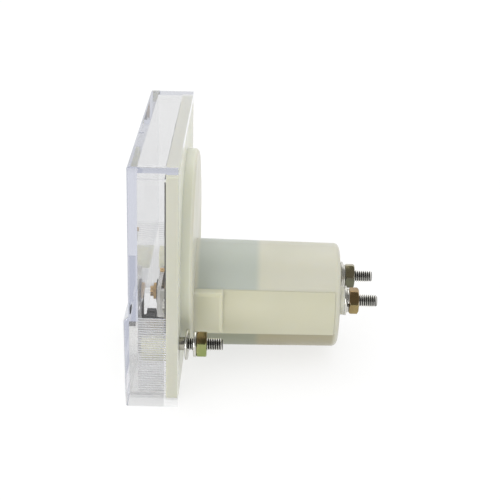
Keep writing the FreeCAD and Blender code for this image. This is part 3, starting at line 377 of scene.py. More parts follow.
ink = finish(
    "scale_ink", metallic=0.0,
    clean=(0.018, 0.018, 0.018), worn=(0.03, 0.03, 0.03), edge=(0.02, 0.02, 0.02),
    gloss=(0.45, 0.6), patches=400, grain=(5000, 2 * MICRON), edge_size=0.01 * MM,
)
scale = bmesh.new()
sector(scale, ARC_R - ARC_W / 2, ARC_R + ARC_W / 2, -SCALE_DEG / 2, SCALE_DEG / 2, ARC_STEPS)
for step in range(SCALE_STEPS + 1):
    length, width = next(STROKES[every] for every in STROKES if step % every == 0)
    middle = SCALE_DEG * (step / SCALE_STEPS - 0.5)
    half = math.degrees(width / 2 / (ARC_R + length))
    sector(scale, ARC_R, ARC_R + length, middle - half, middle + half, 1)
raise_print(scale)
for step in range(0, SCALE_STEPS + 1, 10):
    angle = math.radians(SCALE_DEG * (step / SCALE_STEPS - 0.5))
    figures = bmesh.new()
    x = NUMBER_R * math.sin(angle)
    z = AXIS_Z + NUMBER_R * math.cos(angle)
    letter(figures, str(step), x, z, NUMBER_H)
    raise_print(figures)
    add_to(scale, figures)
piece("dial_scale", scale, ink, "housing")


# Movement stator
# A turned iron ring carries the flux round a ground core magnet, which two cast spacers hold.
# Two bridges bent from nickel-plated strip carry the jewel screws.

def reach_from(tree, x, z):
    """Distance from the nearer of the two lines along Y at x and -x."""
    place = axes_of(tree)
    from_x = reckon(tree, "SUBTRACT", reckon(tree, "ABSOLUTE", place["X"]), x)
    from_z = reckon(tree, "SUBTRACT", place["Z"], z)
    square = reckon(tree, "MULTIPLY_ADD", from_x, from_x, reckon(tree, "MULTIPLY", from_z, from_z))
    return reckon(tree, "SQRT", square)


def turning_marks():
    """Fine rings about a line along Y, as a lathe leaves them on both of a pair."""
    group, given, result = new_group(
        "turning_marks",
        (("Centre X", "Float"), ("Centre Z", "Float"), ("Rings", "Float")),
        (("Marks", "Float"),),
    )
    from_centre = reach_from(group, given["Centre X"], given["Centre Z"])
    # The rings run on along Y, so a turned shank has them too
    run = reckon(group, "ADD", from_centre, axes_of(group)["Y"])
    line = {"noise_dimensions": "1D"}
    rings = node(group, "TexNoise", W=run, Scale=given["Rings"], Detail=2.0, settings=line)
    plug(group, result["Marks"], rings.outputs["Fac"])
    return group


TURNING = turning_marks()


def turned_about(x, z, rings):
    def marks(tree):
        made = tree.nodes.new("ShaderNodeGroup")
        made.node_tree = TURNING
        for socket, value in zip(made.inputs, (x, z, rings)):
            socket.default_value = value
        return made.outputs[0]
    return marks


def brushed(*fineness):
    def marks(tree):
        stretched = node(tree, "Mapping", place_of(tree), Scale=fineness)
        return node(tree, "TexNoise", Vector=stretched.outputs[0], Scale=1.0, Detail=2.0).outputs["Fac"]
    return marks


iron = finish(
    "soft_iron", metallic=1.0,
    clean=(0.36, 0.365, 0.38), worn=(0.27, 0.27, 0.28), edge=(0.50, 0.50, 0.52),
    gloss=(0.30, 0.48), patches=220, grain=(3000, 2 * MICRON), edge_size=0.15 * MM,
    marks=turned_about(0, AXIS_Z, 7000), marks_height=6 * MICRON,
)
dress(iron, "return_ring")

magnet = finish(
    "magnet_alloy", metallic=1.0,
    clean=(0.20, 0.20, 0.21), worn=(0.15, 0.15, 0.155), edge=(0.34, 0.34, 0.35),
    gloss=(0.28, 0.42), patches=300, grain=(2600, 4 * MICRON), edge_size=0.12 * MM,
    marks=turned_about(0, AXIS_Z, 5000), marks_height=4 * MICRON,
)
dress(magnet, "core_magnet")

cast = finish(
    "cast_spacer", metallic=1.0,
    clean=(0.55, 0.55, 0.55), worn=(0.44, 0.44, 0.45), edge=(0.70, 0.70, 0.70),
    gloss=(0.42, 0.6), patches=350, grain=(1800, 14 * MICRON), edge_size=0.1 * MM,
)
dress(cast, "core_spacers")

strap_metal = finish(
    "plated_strap", metallic=1.0,
    clean=(0.60, 0.59, 0.565), worn=(0.46, 0.45, 0.42), edge=(0.78, 0.77, 0.74),
    gloss=(0.24, 0.42), patches=260, grain=(2800, 2 * MICRON), edge_size=0.12 * MM,
    marks=brushed(300, 300, 9000), marks_height=5 * MICRON,
)
dress(strap_metal, "front_bridge", "rear_bridge")


# Brass pieces
# Jewel screws, their lock nuts, the pointer's stops, balance weights and solder tags are turned or
# stamped brass; the hairsprings are bright bronze ribbon.

brass = finish(
    "turned_brass", metallic=1.0,
    clean=(0.60, 0.42, 0.20), worn=(0.40, 0.26, 0.12), edge=(0.80, 0.64, 0.38),
    gloss=(0.20, 0.38), patches=500, grain=(3500, 2 * MICRON), edge_size=0.1 * MM,
    marks=turned_about(0, AXIS_Z, 9000), marks_height=5 * MICRON,
)
dress(
    brass, "pointer_stops", "front_jewel_screw", "rear_jewel_screw", "front_lock_nut", "rear_lock_nut",
    "balance_weights", "rear_spring_anchor",
)

stamped_brass = finish(
    "stamped_brass", metallic=1.0,
    clean=(0.58, 0.42, 0.21), worn=(0.42, 0.28, 0.13), edge=(0.78, 0.62, 0.36),
    gloss=(0.26, 0.46), patches=420, grain=(2500, 4 * MICRON), edge_size=0.08 * MM,
    marks=brushed(400, 400, 5000), marks_height=3 * MICRON,
)
dress(stamped_brass, "terminal_lugs", "front_spring_arm")

spring_bronze = finish(
    "spring_bronze", metallic=1.0,
    clean=(0.68, 0.50, 0.28), worn=(0.55, 0.38, 0.19), edge=(0.80, 0.64, 0.40),
    gloss=(0.16, 0.28), patches=700, grain=(6000, 1 * MICRON), edge_size=0.02 * MM,
)
dress(spring_bronze, "front_hairspring", "rear_hairspring")


# Moving coil
# Fine enamelled wire wound in level turns on a light foil frame, which swings in the ring's gap.
# It carries the staffs and a thin black pointer with its balance weights.

WIRE_PITCH = 0.16 * MM
WIRE_GROOVE = 0.05 * MM
COIL_TURNS = 15
ZERO_DEG = -45

copper = finish(
    "enamelled_copper", metallic=0.85,
    clean=(0.52, 0.18, 0.06), worn=(0.36, 0.10, 0.03), edge=(0.62, 0.26, 0.10),
    gloss=(0.18, 0.32), patches=600, grain=(5000, 1 * MICRON), edge_size=0.02 * MM,
)
foil = finish(
    "aluminium_foil", metallic=1.0,
    clean=(0.76, 0.76, 0.78), worn=(0.62, 0.62, 0.64), edge=(0.86, 0.86, 0.87),
    gloss=(0.26, 0.42), patches=500, grain=(3500, 3 * MICRON), edge_size=0.03 * MM,
    marks=brushed(500, 4000, 500), marks_height=3 * MICRON,
)
dress(foil, "coil_former")

coil = bmesh.new()
coil.from_mesh(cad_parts["coil_winding"].data)
bmesh.ops.remove_doubles(coil, verts=coil.verts, dist=1 * MICRON)
coil_middle = Vector((0, 0, AXIS_Z))
across_turns = Matrix.Rotation(math.radians(ZERO_DEG), 3, "Y") @ Vector((1, 0, 0))
for line in range(1 - COIL_TURNS, COIL_TURNS):
    plane = coil_middle + across_turns * (line * WIRE_PITCH / 2)
    bmesh.ops.bisect_plane(
        coil, geom=coil.verts[:] + coil.edges[:] + coil.faces[:], plane_co=plane, plane_no=across_turns,
        dist=0.1 * MICRON,
    )
coil.normal_update()
grooves = []
for v in coil.verts:
    line = (v.co - coil_middle).dot(across_turns) / (WIRE_PITCH / 2)
    if round(line) % 2 == COIL_TURNS % 2 and abs(line) < COIL_TURNS - 0.5:
        grooves.append((v, v.normal.copy()))
for v, outward in grooves:
    v.co -= outward * WIRE_GROOVE
wound_coil = piece("wound_coil", coil, copper, "coil_assembly")
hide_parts("coil_winding")

lacquer = finish(
    "pointer_black", metallic=0.0,
    clean=(0.022, 0.022, 0.023), worn=(0.035, 0.035, 0.036), edge=(0.08, 0.08, 0.08),
    gloss=(0.35, 0.5), patches=400, grain=(4000, 2 * MICRON), edge_size=0.03 * MM,
)
dress(lacquer, "pointer")


# Zero adjuster
# A slotted screw of black plastic turns in the cover. Its crank moves a forked lever of the same
# plastic, which shifts the front hairspring's outer end.

BLACK_GLINT = 0.25          # its fine texture takes the glint off

black = finish(
    "black_moulding", metallic=0.0,
    clean=(0.009, 0.009, 0.010), worn=(0.016, 0.016, 0.017), edge=(0.05, 0.05, 0.05),
    gloss=(0.34, 0.50), patches=250, grain=(2200, 9 * MICRON), edge_size=0.12 * MM,
)
black.node_tree.nodes["Principled BSDF"].inputs["Specular IOR Level"].default_value = BLACK_GLINT
dress(black, "zero_lever", "zero_adjust_screw", "anchor_bush")


# Wiring
# A small lacquered resistor with colour bands bridges the rear anchor and one solder tag.
# A red sleeve covers the lead to the other tag.

resistor = finish(
    "resistor_lacquer", metallic=0.0,
    clean=(0.17, 0.36, 0.48), worn=(0.13, 0.29, 0.40), edge=(0.24, 0.45, 0.56),
    gloss=(0.18, 0.30), patches=500, grain=(2500, 5 * MICRON), edge_size=0.15 * MM,
)
RESISTOR_LOW, RESISTOR_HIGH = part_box("series_resistor")
RESISTOR_MIDDLE = (RESISTOR_LOW + RESISTOR_HIGH) / 2
RESISTOR_SPAN = RESISTOR_HIGH - RESISTOR_LOW
BODY_HALF = 2.3 * MM
BAND_W = 0.5 * MM
BANDS = (
    (-1.7 * MM, (0.30, 0.05, 0.03)), (-0.7 * MM, (0.02, 0.02, 0.02)),
    (0.3 * MM, (0.35, 0.09, 0.02)), (1.6 * MM, (0.5, 0.36, 0.12)),
)
LEAD_COLOUR = (0.62, 0.61, 0.58)
resistor_tree = resistor.node_tree
resistor_along = Vector((RESISTOR_SPAN.x, 0, -RESISTOR_SPAN.z)).normalized()
from_middle = node(
    resistor_tree, "VectorMath", place_of(resistor_tree), RESISTOR_MIDDLE,
    settings={"operation": "SUBTRACT"},
).outputs[0]
reach = node(
    resistor_tree, "VectorMath", from_middle, resistor_along, settings={"operation": "DOT_PRODUCT"}
).outputs["Value"]
for band_middle, band_colour in BANDS:
    band = reckon(resistor_tree, "LESS_THAN", apart(resistor_tree, reach, band_middle), BAND_W / 2)
    recolour(resistor, band, band_colour, "MIX")
leads = reckon(resistor_tree, "GREATER_THAN", reckon(resistor_tree, "ABSOLUTE", reach), BODY_HALF)
recolour(resistor, leads, LEAD_COLOUR, "MIX")
plug(resistor_tree, resistor_tree.nodes["Principled BSDF"].inputs["Metallic"], leads)
dress(resistor, "series_resistor")

sleeve = finish(
    "sleeve_red", metallic=0.0,
    clean=(0.42, 0.045, 0.035), worn=(0.34, 0.035, 0.03), edge=(0.5, 0.09, 0.07),
    gloss=(0.42, 0.58), patches=300, grain=(2000, 8 * MICRON), edge_size=0.1 * MM,
)
dress(sleeve, "ground_lead")


# Studs
# Zinc-plated M3 screws with rolled threads. Two are moulded into the flange, for the panel, and two
# pass the barrel's end as terminals.

SIDES = (-1, 1)
THREAD_PITCH = 0.5 * MM
THREAD_CREST_R = 1.49 * MM
THREAD_ROOT_R = 1.2 * MM
THREAD_TIP = 0.4 * MM
THREAD_STEPS = 36
THREAD_FORM = ((0.0, 0.0), (0.12, 0.0), (0.44, 1.0), (0.56, 1.0), (0.88, 0.0), (1.0, 0.0))
END_FACE = (THREAD_ROOT_R - 0.12 * MM, THREAD_ROOT_R - 0.06 * MM)
ROOT_SHADE = (THREAD_ROOT_R + 0.02 * MM, THREAD_CREST_R - 0.14 * MM)
ROOT_SHADE_TINT = (0.05, 0.05, 0.045)
END_FACE_TINT = (0.72, 0.71, 0.67)
SHANK_TINT = (0.42, 0.41, 0.36)
MOUNT_X = 26.0 * MM
MOUNT_Z = -12.65 * MM
MOUNT_HEAD_R = 2.25 * MM
MOUNT_HEAD_BACK = -1.7 * MM
MOUNT_SHANK_END = 1.1 * MM
TERMINAL_X = 7.56 * MM
TERMINAL_Z = -9.2 * MM
TERMINAL_HEAD_R = 2.6 * MM
TERMINAL_HEAD_BACK = 34.24 * MM
TERMINAL_ROOT_END = 38.1 * MM

# Its dark edge colour paints shade along the edges of these plated parts, as a dark outline.
zinc = finish(
    "zinc_plate", metallic=1.0,
    clean=(0.68, 0.67, 0.62), worn=(0.53, 0.52, 0.48), edge=(0.34, 0.34, 0.32),
    gloss=(0.14, 0.30), patches=350, grain=(3200, 2 * MICRON), edge_size=0.05 * MM,
    marks=brushed(3000, 3000, 600), marks_height=2 * MICRON,
)
dress(zinc, "dial_screws", "bridge_screws", "frame_screws", "front_staff", "rear_staff")

rolled = finish(
    "rolled_thread", metallic=1.0,
    clean=(0.93, 0.92, 0.89), worn=(0.82, 0.81, 0.77), edge=(0.93, 0.92, 0.89),
    gloss=(0.12, 0.26), patches=350, grain=(4000, 1 * MICRON), edge_size=0.0,
)
rolled_tree = rolled.node_tree
from_mount = reach_from(rolled_tree, MOUNT_X, MOUNT_Z)
from_terminal = reach_from(rolled_tree, TERMINAL_X, TERMINAL_Z)
from_stud = reckon(rolled_tree, "MINIMUM", from_mount, from_terminal)
in_root = fade(rolled_tree, from_stud, *ROOT_SHADE, 1.0, 0.0)
off_centre = fade(rolled_tree, from_stud, *END_FACE)
back = axes_of(rolled_tree)["Y"]
threaded = fade(rolled_tree, back, MOUNT_SHANK_END, MOUNT_SHANK_END + 0.1 * MM)
behind_head = fade(rolled_tree, back, MOUNT_HEAD_BACK, 0.0)
recolour(rolled, all_of(rolled_tree, in_root, off_centre, threaded), ROOT_SHADE_TINT)
recolour(rolled, outside(rolled_tree, off_centre), END_FACE_TINT)
recolour(rolled, all_of(rolled_tree, behind_head, outside(rolled_tree, threaded)), SHANK_TINT)


def lathe(bm, outline, x, z, closed=False, steps=48):
    """Turns an outline of (radius, y) points about a line along Y."""
    verts = [bm.verts.new((x + radius, y, z)) for radius, y in outline]
    ends = verts[1:] + verts[:1] if closed else verts[1:]
    edges = [bm.edges.new(pair) for pair in zip(verts, ends)]
    bmesh.ops.spin(
        bm, geom=verts + edges, cent=(x, 0, z), axis=(0, 1, 0), dvec=(0, 0, 0),
        angle=2 * math.pi, steps=steps, use_merge=True,
    )
    bmesh.ops.remove_doubles(bm, verts=bm.verts, dist=0.1 * MICRON)


def wind_thread(bm, start, end, x, z):
    """A right-hand thread from start to end along Y, wound from one pitch of its profile."""
    low = start - THREAD_PITCH
    turns = math.ceil((end - low) / THREAD_PITCH) + 1
    thread = bmesh.new()
    verts = []
    for share, height in THREAD_FORM:
        radius = THREAD_ROOT_R + height * (THREAD_CREST_R - THREAD_ROOT_R)
        verts.append(thread.verts.new((x + radius, low + share * THREAD_PITCH, z)))
    edges = [thread.edges.new(pair) for pair in zip(verts, verts[1:])]
    bmesh.ops.spin(
        thread, geom=verts + edges, cent=(x, 0, z), axis=(0, 1, 0), angle=2 * math.pi * turns,
        dvec=(0, THREAD_PITCH / THREAD_STEPS, 0), steps=THREAD_STEPS * turns,
    )
    bmesh.ops.remove_doubles(thread, verts=thread.verts, dist=1 * MICRON)
    for y, outer in ((start, False), (end, True)):
        bmesh.ops.bisect_plane(
            thread, geom=thread.verts[:] + thread.edges[:] + thread.faces[:], plane_co=(0, y, 0),
            plane_no=(0, 1, 0), clear_outer=outer, clear_inner=not outer,
        )
    bmesh.ops.holes_fill(thread, edges=[e for e in thread.edges if e.is_boundary], sides=0)
    for v in thread.verts:
        reach = math.hypot(v.co.x - x, v.co.z - z)
        limit = THREAD_CREST_R - max(0.0, v.co.y - (end - THREAD_TIP))
        if reach > limit:
            v.co.x = x + (v.co.x - x) * limit / reach
            v.co.z = z + (v.co.z - z) * limit / reach
    add_to(bm, thread)


def threaded_studs(name, node_name, x, z, head_r, head_back, thread_start):
    """Two studs in place of a CAD node: a head inside, and a thread out to the free end."""
    low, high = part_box(node_name)
    bm = bmesh.new()
    for side in SIDES:
        outline = (
            (0, low.y), (head_r, low.y), (head_r, head_back), (THREAD_CREST_R, head_back),
            (THREAD_CREST_R, thread_start), (0, thread_start),
        )
        lathe(bm, outline, side * x, z)
        wind_thread(bm, thread_start, high.y, side * x, z)
    made = piece(name, bm, rolled, "housing")
    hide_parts(node_name)


threaded_studs(
    "threaded_mounting_studs", "mounting_studs", MOUNT_X, MOUNT_Z, MOUNT_HEAD_R, MOUNT_HEAD_BACK,
    MOUNT_SHANK_END,
)
threaded_studs(
    "threaded_terminal_studs", "terminal_studs", TERMINAL_X, TERMINAL_Z, TERMINAL_HEAD_R,
    TERMINAL_HEAD_BACK, TERMINAL_ROOT_END,
)


# Washers
# Zinc-plated flat washers with a rounded edge, stamped from sheet, and split spring washers coiled
# from square wire, whose two ends are sprung apart.

WASHER_R = 3.5 * MM
TERMINAL_WASHER_BORE_R = 1.53 * MM
MOUNT_WASHER_BORE_R = 1.7 * MM
WASHER_T = 0.5 * MM
WASHER_ROUND = 0.12 * MM
MOUNT_WASHER_Y = 1.75 * MM
MOUNT_WASHER_DROP = 0.15 * MM
MOUNT_WASHER_SWING_DEG = 3.5
SPRING_WASHER_BORE_R = 1.56 * MM
SPRING_WASHER_STEPS = 64
SLIT_DEG = 14
SPRUNG = 0.14 * MM
SHARP_DEG = 40


def round_off(bm, width):
    """Breaks every sharp edge by a small round."""
    bm.normal_update()
    sharp = [e for e in bm.edges if e.is_manifold and e.calc_face_angle() > math.radians(SHARP_DEG)]
    bmesh.ops.bevel(
        bm, geom=sharp, offset=width, affect="EDGES", segments=2, profile=0.5, material=-1,
        clamp_overlap=True,
    )


def flat_washer(bore_r, front, x, z, swing_deg=0.0):
    washer = bmesh.new()
    back = front + WASHER_T
    lathe(washer, ((bore_r, front), (WASHER_R, front), (WASHER_R, back), (bore_r, back)), x, z, closed=True)
    round_off(washer, WASHER_ROUND)
    turn = Matrix.Rotation(math.radians(swing_deg), 3, "Z")
    bmesh.ops.rotate(washer, verts=washer.verts, cent=(x, (front + back) / 2, z), matrix=turn)
    return washer


def spring_washer(outer_r, front, back, x, z, slit_side):
    """One turn of square wire, less its slit, between front and back."""
    washer = bmesh.new()
    inner_r = SPRING_WASHER_BORE_R
    section = ((inner_r, front), (outer_r, front), (outer_r, back - SPRUNG), (inner_r, back - SPRUNG))
    corners = [washer.verts.new((x + slit_side * radius, y, z)) for radius, y in section]
    face = washer.faces.new(corners)
    half_slit = Matrix.Rotation(math.radians(SLIT_DEG / 2), 3, "Y")
    bmesh.ops.rotate(washer, verts=corners, cent=(x, 0, z), matrix=half_slit)
    bmesh.ops.spin(
        washer, geom=corners + list(face.edges) + [face], cent=(x, 0, z), axis=(0, 1, 0),
        dvec=(0, SPRUNG / SPRING_WASHER_STEPS, 0), angle=math.radians(360 - SLIT_DEG),
        steps=SPRING_WASHER_STEPS,
    )
    bmesh.ops.recalc_face_normals(washer, faces=washer.faces)
    round_off(washer, WASHER_ROUND)
    return washer


def washer_pair(name, node_name, make):
    """Both washers of one kind in place of a CAD node."""
    low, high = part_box(node_name)
    bm = bmesh.new()
    for side in SIDES:
        add_to(bm, make(side, low, high))
    made = piece(name, bm, zinc, "housing")
    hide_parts(node_name)


washer_pair(
    "stamped_terminal_washers", "terminal_washers",
    lambda side, low, high: flat_washer(TERMINAL_WASHER_BORE_R, low.y, side * TERMINAL_X, TERMINAL_Z),
)
washer_pair(
    "stamped_mounting_washers", "mounting_washers",
    lambda side, low, high: flat_washer(
        MOUNT_WASHER_BORE_R, MOUNT_WASHER_Y - WASHER_T / 2, side * MOUNT_X, MOUNT_Z - MOUNT_WASHER_DROP,
        -side * MOUNT_WASHER_SWING_DEG,
    ),
)
washer_pair(
    "split_terminal_washers", "terminal_lock_washers",
    lambda side, low, high: spring_washer(
        (high.z - low.z) / 2, low.y, high.y, side * TERMINAL_X, TERMINAL_Z, side
    ),
)
washer_pair(
    "split_mounting_washers", "mounting_lock_washers",
    lambda side, low, high: spring_washer(
        (high.z - low.z) / 2, low.y, high.y, side * MOUNT_X, MOUNT_Z, -side
    ),
)


# Nuts
# Plated hexagon nuts, chamfered at both ends. The mounting nuts are yellow-green passivated, the
# terminal nuts bronze, and both turn browner and darker towards the top: their films' colour and painted
# shade.

NUT_AF = 5.5 * MM
NUT_BORE_R = 1.37 * MM
NUT_SINK = 0.25 * MM
NUT_CHAMFER_R = 0.44 * MM
NUT_CHAMFER_Y = 0.30 * MM
NUT_EDGE = 0.05 * MM
NUT_STEPS = 72
MOUNT_NUT_DEGS = {-1: 24.0, 1: 24.0}    # how far each side's nut is turned
TERMINAL_NUT_DEGS = {-1: 14.0, 1: 3.0}
FILM_CLOUD = 700.0
MOUNT_FILM_SHADE = (MOUNT_Z + 1.1 * MM, MOUNT_Z + 1.6 * MM)
TERMINAL_FILM_SHADE = (TERMINAL_Z + 0.2 * MM, TERMINAL_Z + 0.9 * MM)
TOP_FLAT = (TERMINAL_Z + 0.7 * MM, TERMINAL_Z + 0.9 * MM)
MOUNT_FILM_SHADE_TINT = (0.72, 0.50, 0.52)
TERMINAL_FILM_SHADE_TINT = (1.0, 0.86, 0.88)
LEFT_NUT_FILM_AND_SHADE = (0.42, 0.54, 0.84)
LEFT_TOP_PAINTED_LIGHT = (2.4, 2.5, 2.1)


def hex_nut(front, back, x, z, turn_deg):
    """A turned blank cut to six flats, whose corners keep the chamfers' curves."""
    corner_r = NUT_AF / math.sqrt(3)
    blank = bmesh.new()
    face_r = corner_r - NUT_CHAMFER_R
    sink_r = NUT_BORE_R + NUT_SINK
    outline = (
        (sink_r, front), (face_r, front), (corner_r, front + NUT_CHAMFER_Y),
        (corner_r, back - NUT_CHAMFER_Y), (face_r, back), (sink_r, back),
        (NUT_BORE_R, back - NUT_SINK), (NUT_BORE_R, front + NUT_SINK),
    )
    lathe(blank, outline, x, z, closed=True, steps=NUT_STEPS)
    for side in range(6):
        angle = math.radians(turn_deg + 30 + 60 * side)
        outward = Vector((math.cos(angle), 0, math.sin(angle)))
        bmesh.ops.bisect_plane(
            blank, geom=blank.verts[:] + blank.edges[:] + blank.faces[:], dist=0.1 * MICRON,
            plane_co=Vector((x, 0, z)) + outward * NUT_AF / 2, plane_no=outward, clear_outer=True,
        )
        bmesh.ops.holes_fill(blank, edges=[e for e in blank.edges if e.is_boundary], sides=0)
    bmesh.ops.recalc_face_normals(blank, faces=blank.faces)
    corners = [
        e for e in blank.edges
        if e.calc_length() > (back - front) / 2
        and e.is_manifold and math.degrees(e.calc_face_angle()) > SHARP_DEG
        and math.hypot(e.verts[0].co.x - x, e.verts[0].co.z - z) > NUT_AF / 2
    ]
    bmesh.ops.bevel(
        blank, geom=corners, offset=NUT_EDGE, affect="EDGES", segments=2, profile=0.5, material=-1,
        clamp_overlap=True,
    )
    return blank


def nut_pair(name, node_name, x, z, degs, material):
    low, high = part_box(node_name)
    bm = bmesh.new()
    for side in SIDES:
        add_to(bm, hex_nut(low.y, high.y, side * x, z, degs[side]))
    made = piece(name, bm, material, "housing")
    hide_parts(node_name)


def film(material, low, high, tint):
    """Browns and darkens the plating from height low up to high: its own colour, and painted shade on the
    top.
    """
    tree = material.node_tree
    cloud = node(tree, "TexNoise", Vector=place_of(tree), Scale=FILM_CLOUD, Detail=2.0).outputs["Fac"]
    wander = reckon(tree, "MULTIPLY_ADD", cloud, high - low, axes_of(tree)["Z"])
    half = (high - low) / 2
    # brown of the plating, and painted shade, towards the top
    recolour(material, fade(tree, wander, low + half, high + half), tint)


passivated = finish(
    "passivated_nut", metallic=1.0,
    clean=(0.265, 0.315, 0.12), worn=(0.32, 0.325, 0.145), edge=(0.55, 0.56, 0.40),
    gloss=(0.16, 0.32), patches=450, grain=(2600, 4 * MICRON), edge_size=0.08 * MM,
    marks=turned_about(MOUNT_X, MOUNT_Z, 6000), marks_height=3 * MICRON,
)
film(passivated, *MOUNT_FILM_SHADE, MOUNT_FILM_SHADE_TINT)
nut_pair(
    "chamfered_mounting_nuts", "mounting_nuts", MOUNT_X, MOUNT_Z, MOUNT_NUT_DEGS,
    passivated,
)

bronze = finish(
    "bronze_nut", metallic=1.0,
    clean=(0.35, 0.275, 0.12), worn=(0.30, 0.225, 0.105), edge=(0.60, 0.54, 0.40),
    gloss=(0.18, 0.34), patches=450, grain=(2600, 4 * MICRON), edge_size=0.08 * MM,
    marks=turned_about(TERMINAL_X, TERMINAL_Z, 6000), marks_height=3 * MICRON,
)
film(bronze, *TERMINAL_FILM_SHADE, TERMINAL_FILM_SHADE_TINT)
bronze_tree = bronze.node_tree
bronze_place = axes_of(bronze_tree)
left_nut = reckon(bronze_tree, "LESS_THAN", bronze_place["X"], 0.0)
left_top_lit = all_of(bronze_tree, left_nut, fade(bronze_tree, bronze_place["Z"], *TOP_FLAT))
# Far terminal nut: a bluer film of its own, and darker as painted shade
recolour(bronze, left_nut, LEFT_NUT_FILM_AND_SHADE)
# Painted light: its upper part lighter
recolour(bronze, left_top_lit, LEFT_TOP_PAINTED_LIGHT)
nut_pair(
    "chamfered_terminal_nuts", "terminal_nuts", TERMINAL_X, TERMINAL_Z, TERMINAL_NUT_DEGS,
    bronze,
)


# Clear cover
# One clear moulding that wraps the flange, polished, with a few faint scuffs. Its long edges look lilac
# from its tint and a painted glow, fine ribs cross its low side walls, and the lamps' light goes through
# it.

CLEAR_IOR = 1.5
CAUGHT_AFTER = 2.5          # mirrored more often than this inside the wall, a ray ends in a painted lilac glow
LILAC_GLOW_COLOUR = (0.71, 0.725, 0.775)
WALL_COLOUR = (0.614, 0.640, 0.754)
WALL_DENSITY = 14.0
SIDE_WALL_X = 29.9 * MM     # what lies past this is a side wall
RIB_WALL_X = 30.3 * MM      # and its ribbed inner face ends here
LOW_ZONE = (-14 * MM, -9 * MM)
FOOT_ZONE = (-22.6 * MM, -22.1 * MM)
TOP_WALL = (29.0 * MM, 29.8 * MM)
LOW_WALL_SHADE = (0.83, 0.83, 0.83)
FOOT_WALL_SHADE = (0.79, 0.79, 0.79)
TOP_WALL_SHADE = (0.88, 0.88, 0.88)
RIB_VALLEY_SHADE = (0.44, 0.44, 0.45)
RIB_PITCH = 0.57 * MM
RIB_LOW_Z = -22.1 * MM
RIB_MIDDLE_Z = -13.265 * MM
RIB_HALF_H = 8.835 * MM
RIB_FAINT = (3.0 * MM, 5.0 * MM)
RIB_FAINT_SHARE = 0.3
RIB_LINE = (0.02 * MM, 0.16 * MM)
RIB_FRONT_Y = -8.85 * MM
RIB_FROST = 0.3

clear = finish(
    "clear_cover", metallic=0.0,
    clean=(0.88, 0.88, 0.88), worn=(0.87, 0.87, 0.87), edge=(0.88, 0.88, 0.88),
    gloss=(0.004, 0.02), patches=40, grain=(120, 2 * MICRON), edge_size=0.0,
)
clear_tree = clear.node_tree
clear_shader = clear_tree.nodes["Principled BSDF"]
clear_shader.inputs["IOR"].default_value = CLEAR_IOR
clear_shader.inputs["Transmission Weight"].default_value = 1.0
rays = node(clear_tree, "LightPath").outputs
lamp_ray = reckon(clear_tree, "MAXIMUM", rays["Is Shadow Ray"], rays["Is Diffuse Ray"])
open_way = node(clear_tree, "BsdfTransparent")
clear_mix = node(clear_tree, "MixShader", lamp_ray, clear_shader.outputs[0], open_way.outputs[0])
# Painted glow: rays mirrored many times inside a wall end in a flat lilac glow, in place of caught light
caught = reckon(clear_tree, "GREATER_THAN", rays["Glossy Depth"], CAUGHT_AFTER)
lilac = node(clear_tree, "Emission", Color=(*LILAC_GLOW_COLOUR, 1), Strength=1.0)
clear_end = node(clear_tree, "MixShader", caught, clear_mix.outputs[0], lilac.outputs[0])
clear_output = clear_tree.nodes["Material Output"]
plug(clear_tree, clear_output.inputs["Surface"], clear_end.outputs[0])
wall_tint = node(clear_tree, "VolumeAbsorption", Color=(*WALL_COLOUR, 1), Density=WALL_DENSITY)
plug(clear_tree, clear_output.inputs["Volume"], wall_tint.outputs[0])

across, back, rise = axes_of(clear_tree)
sideways = reckon(clear_tree, "ABSOLUTE", across)
from_ribs = apart(clear_tree, rise, RIB_MIDDLE_Z)
side_wall = all_of(
    clear_tree,
    reckon(clear_tree, "GREATER_THAN", sideways, SIDE_WALL_X),
    reckon(clear_tree, "LESS_THAN", back, DIAL_FACE_Y),
)
low_zone = all_of(clear_tree, side_wall, fade(clear_tree, rise, *LOW_ZONE, 1.0, 0.0))
foot_zone = all_of(clear_tree, side_wall, fade(clear_tree, rise, *FOOT_ZONE, 1.0, 0.0))
# Painted shade: the side walls darker low down, and darker still at the foot
recolour(clear, low_zone, LOW_WALL_SHADE)
recolour(clear, foot_zone, FOOT_WALL_SHADE)
# Painted shade: the top wall a little darker
recolour(clear, fade(clear_tree, rise, *TOP_WALL), TOP_WALL_SHADE)
ribbed = all_of(
    clear_tree, side_wall,
    reckon(clear_tree, "LESS_THAN", sideways, RIB_WALL_X),
    reckon(clear_tree, "GREATER_THAN", back, RIB_FRONT_Y),
    reckon(clear_tree, "LESS_THAN", from_ribs, RIB_HALF_H),
)
up_rib = reckon(clear_tree, "PINGPONG", reckon(clear_tree, "SUBTRACT", rise, RIB_LOW_Z), RIB_PITCH / 2)
valley = fade(clear_tree, up_rib, *RIB_LINE, 1.0, 0.0)
plain_ends = fade(clear_tree, from_ribs, *RIB_FAINT, RIB_FAINT_SHARE, 1.0)
# Painted shade: dark lines in the rib valleys
recolour(clear, all_of(clear_tree, ribbed, valley, plain_ends), RIB_VALLEY_SHADE)
roughness = clear_shader.inputs["Roughness"]
polish = roughness.links[0].from_socket
frost = reckon(clear_tree, "MULTIPLY", ribbed, RIB_FROST)
plug(clear_tree, roughness, reckon(clear_tree, "MAXIMUM", frost, polish))
dress(clear, "front_cover")


# Studio
# A pale floor that stays white behind the meter and keeps its soft shadow, a white surround, two
# softboxes, a dark card that only reflections see, and the camera, which looks down from the right.

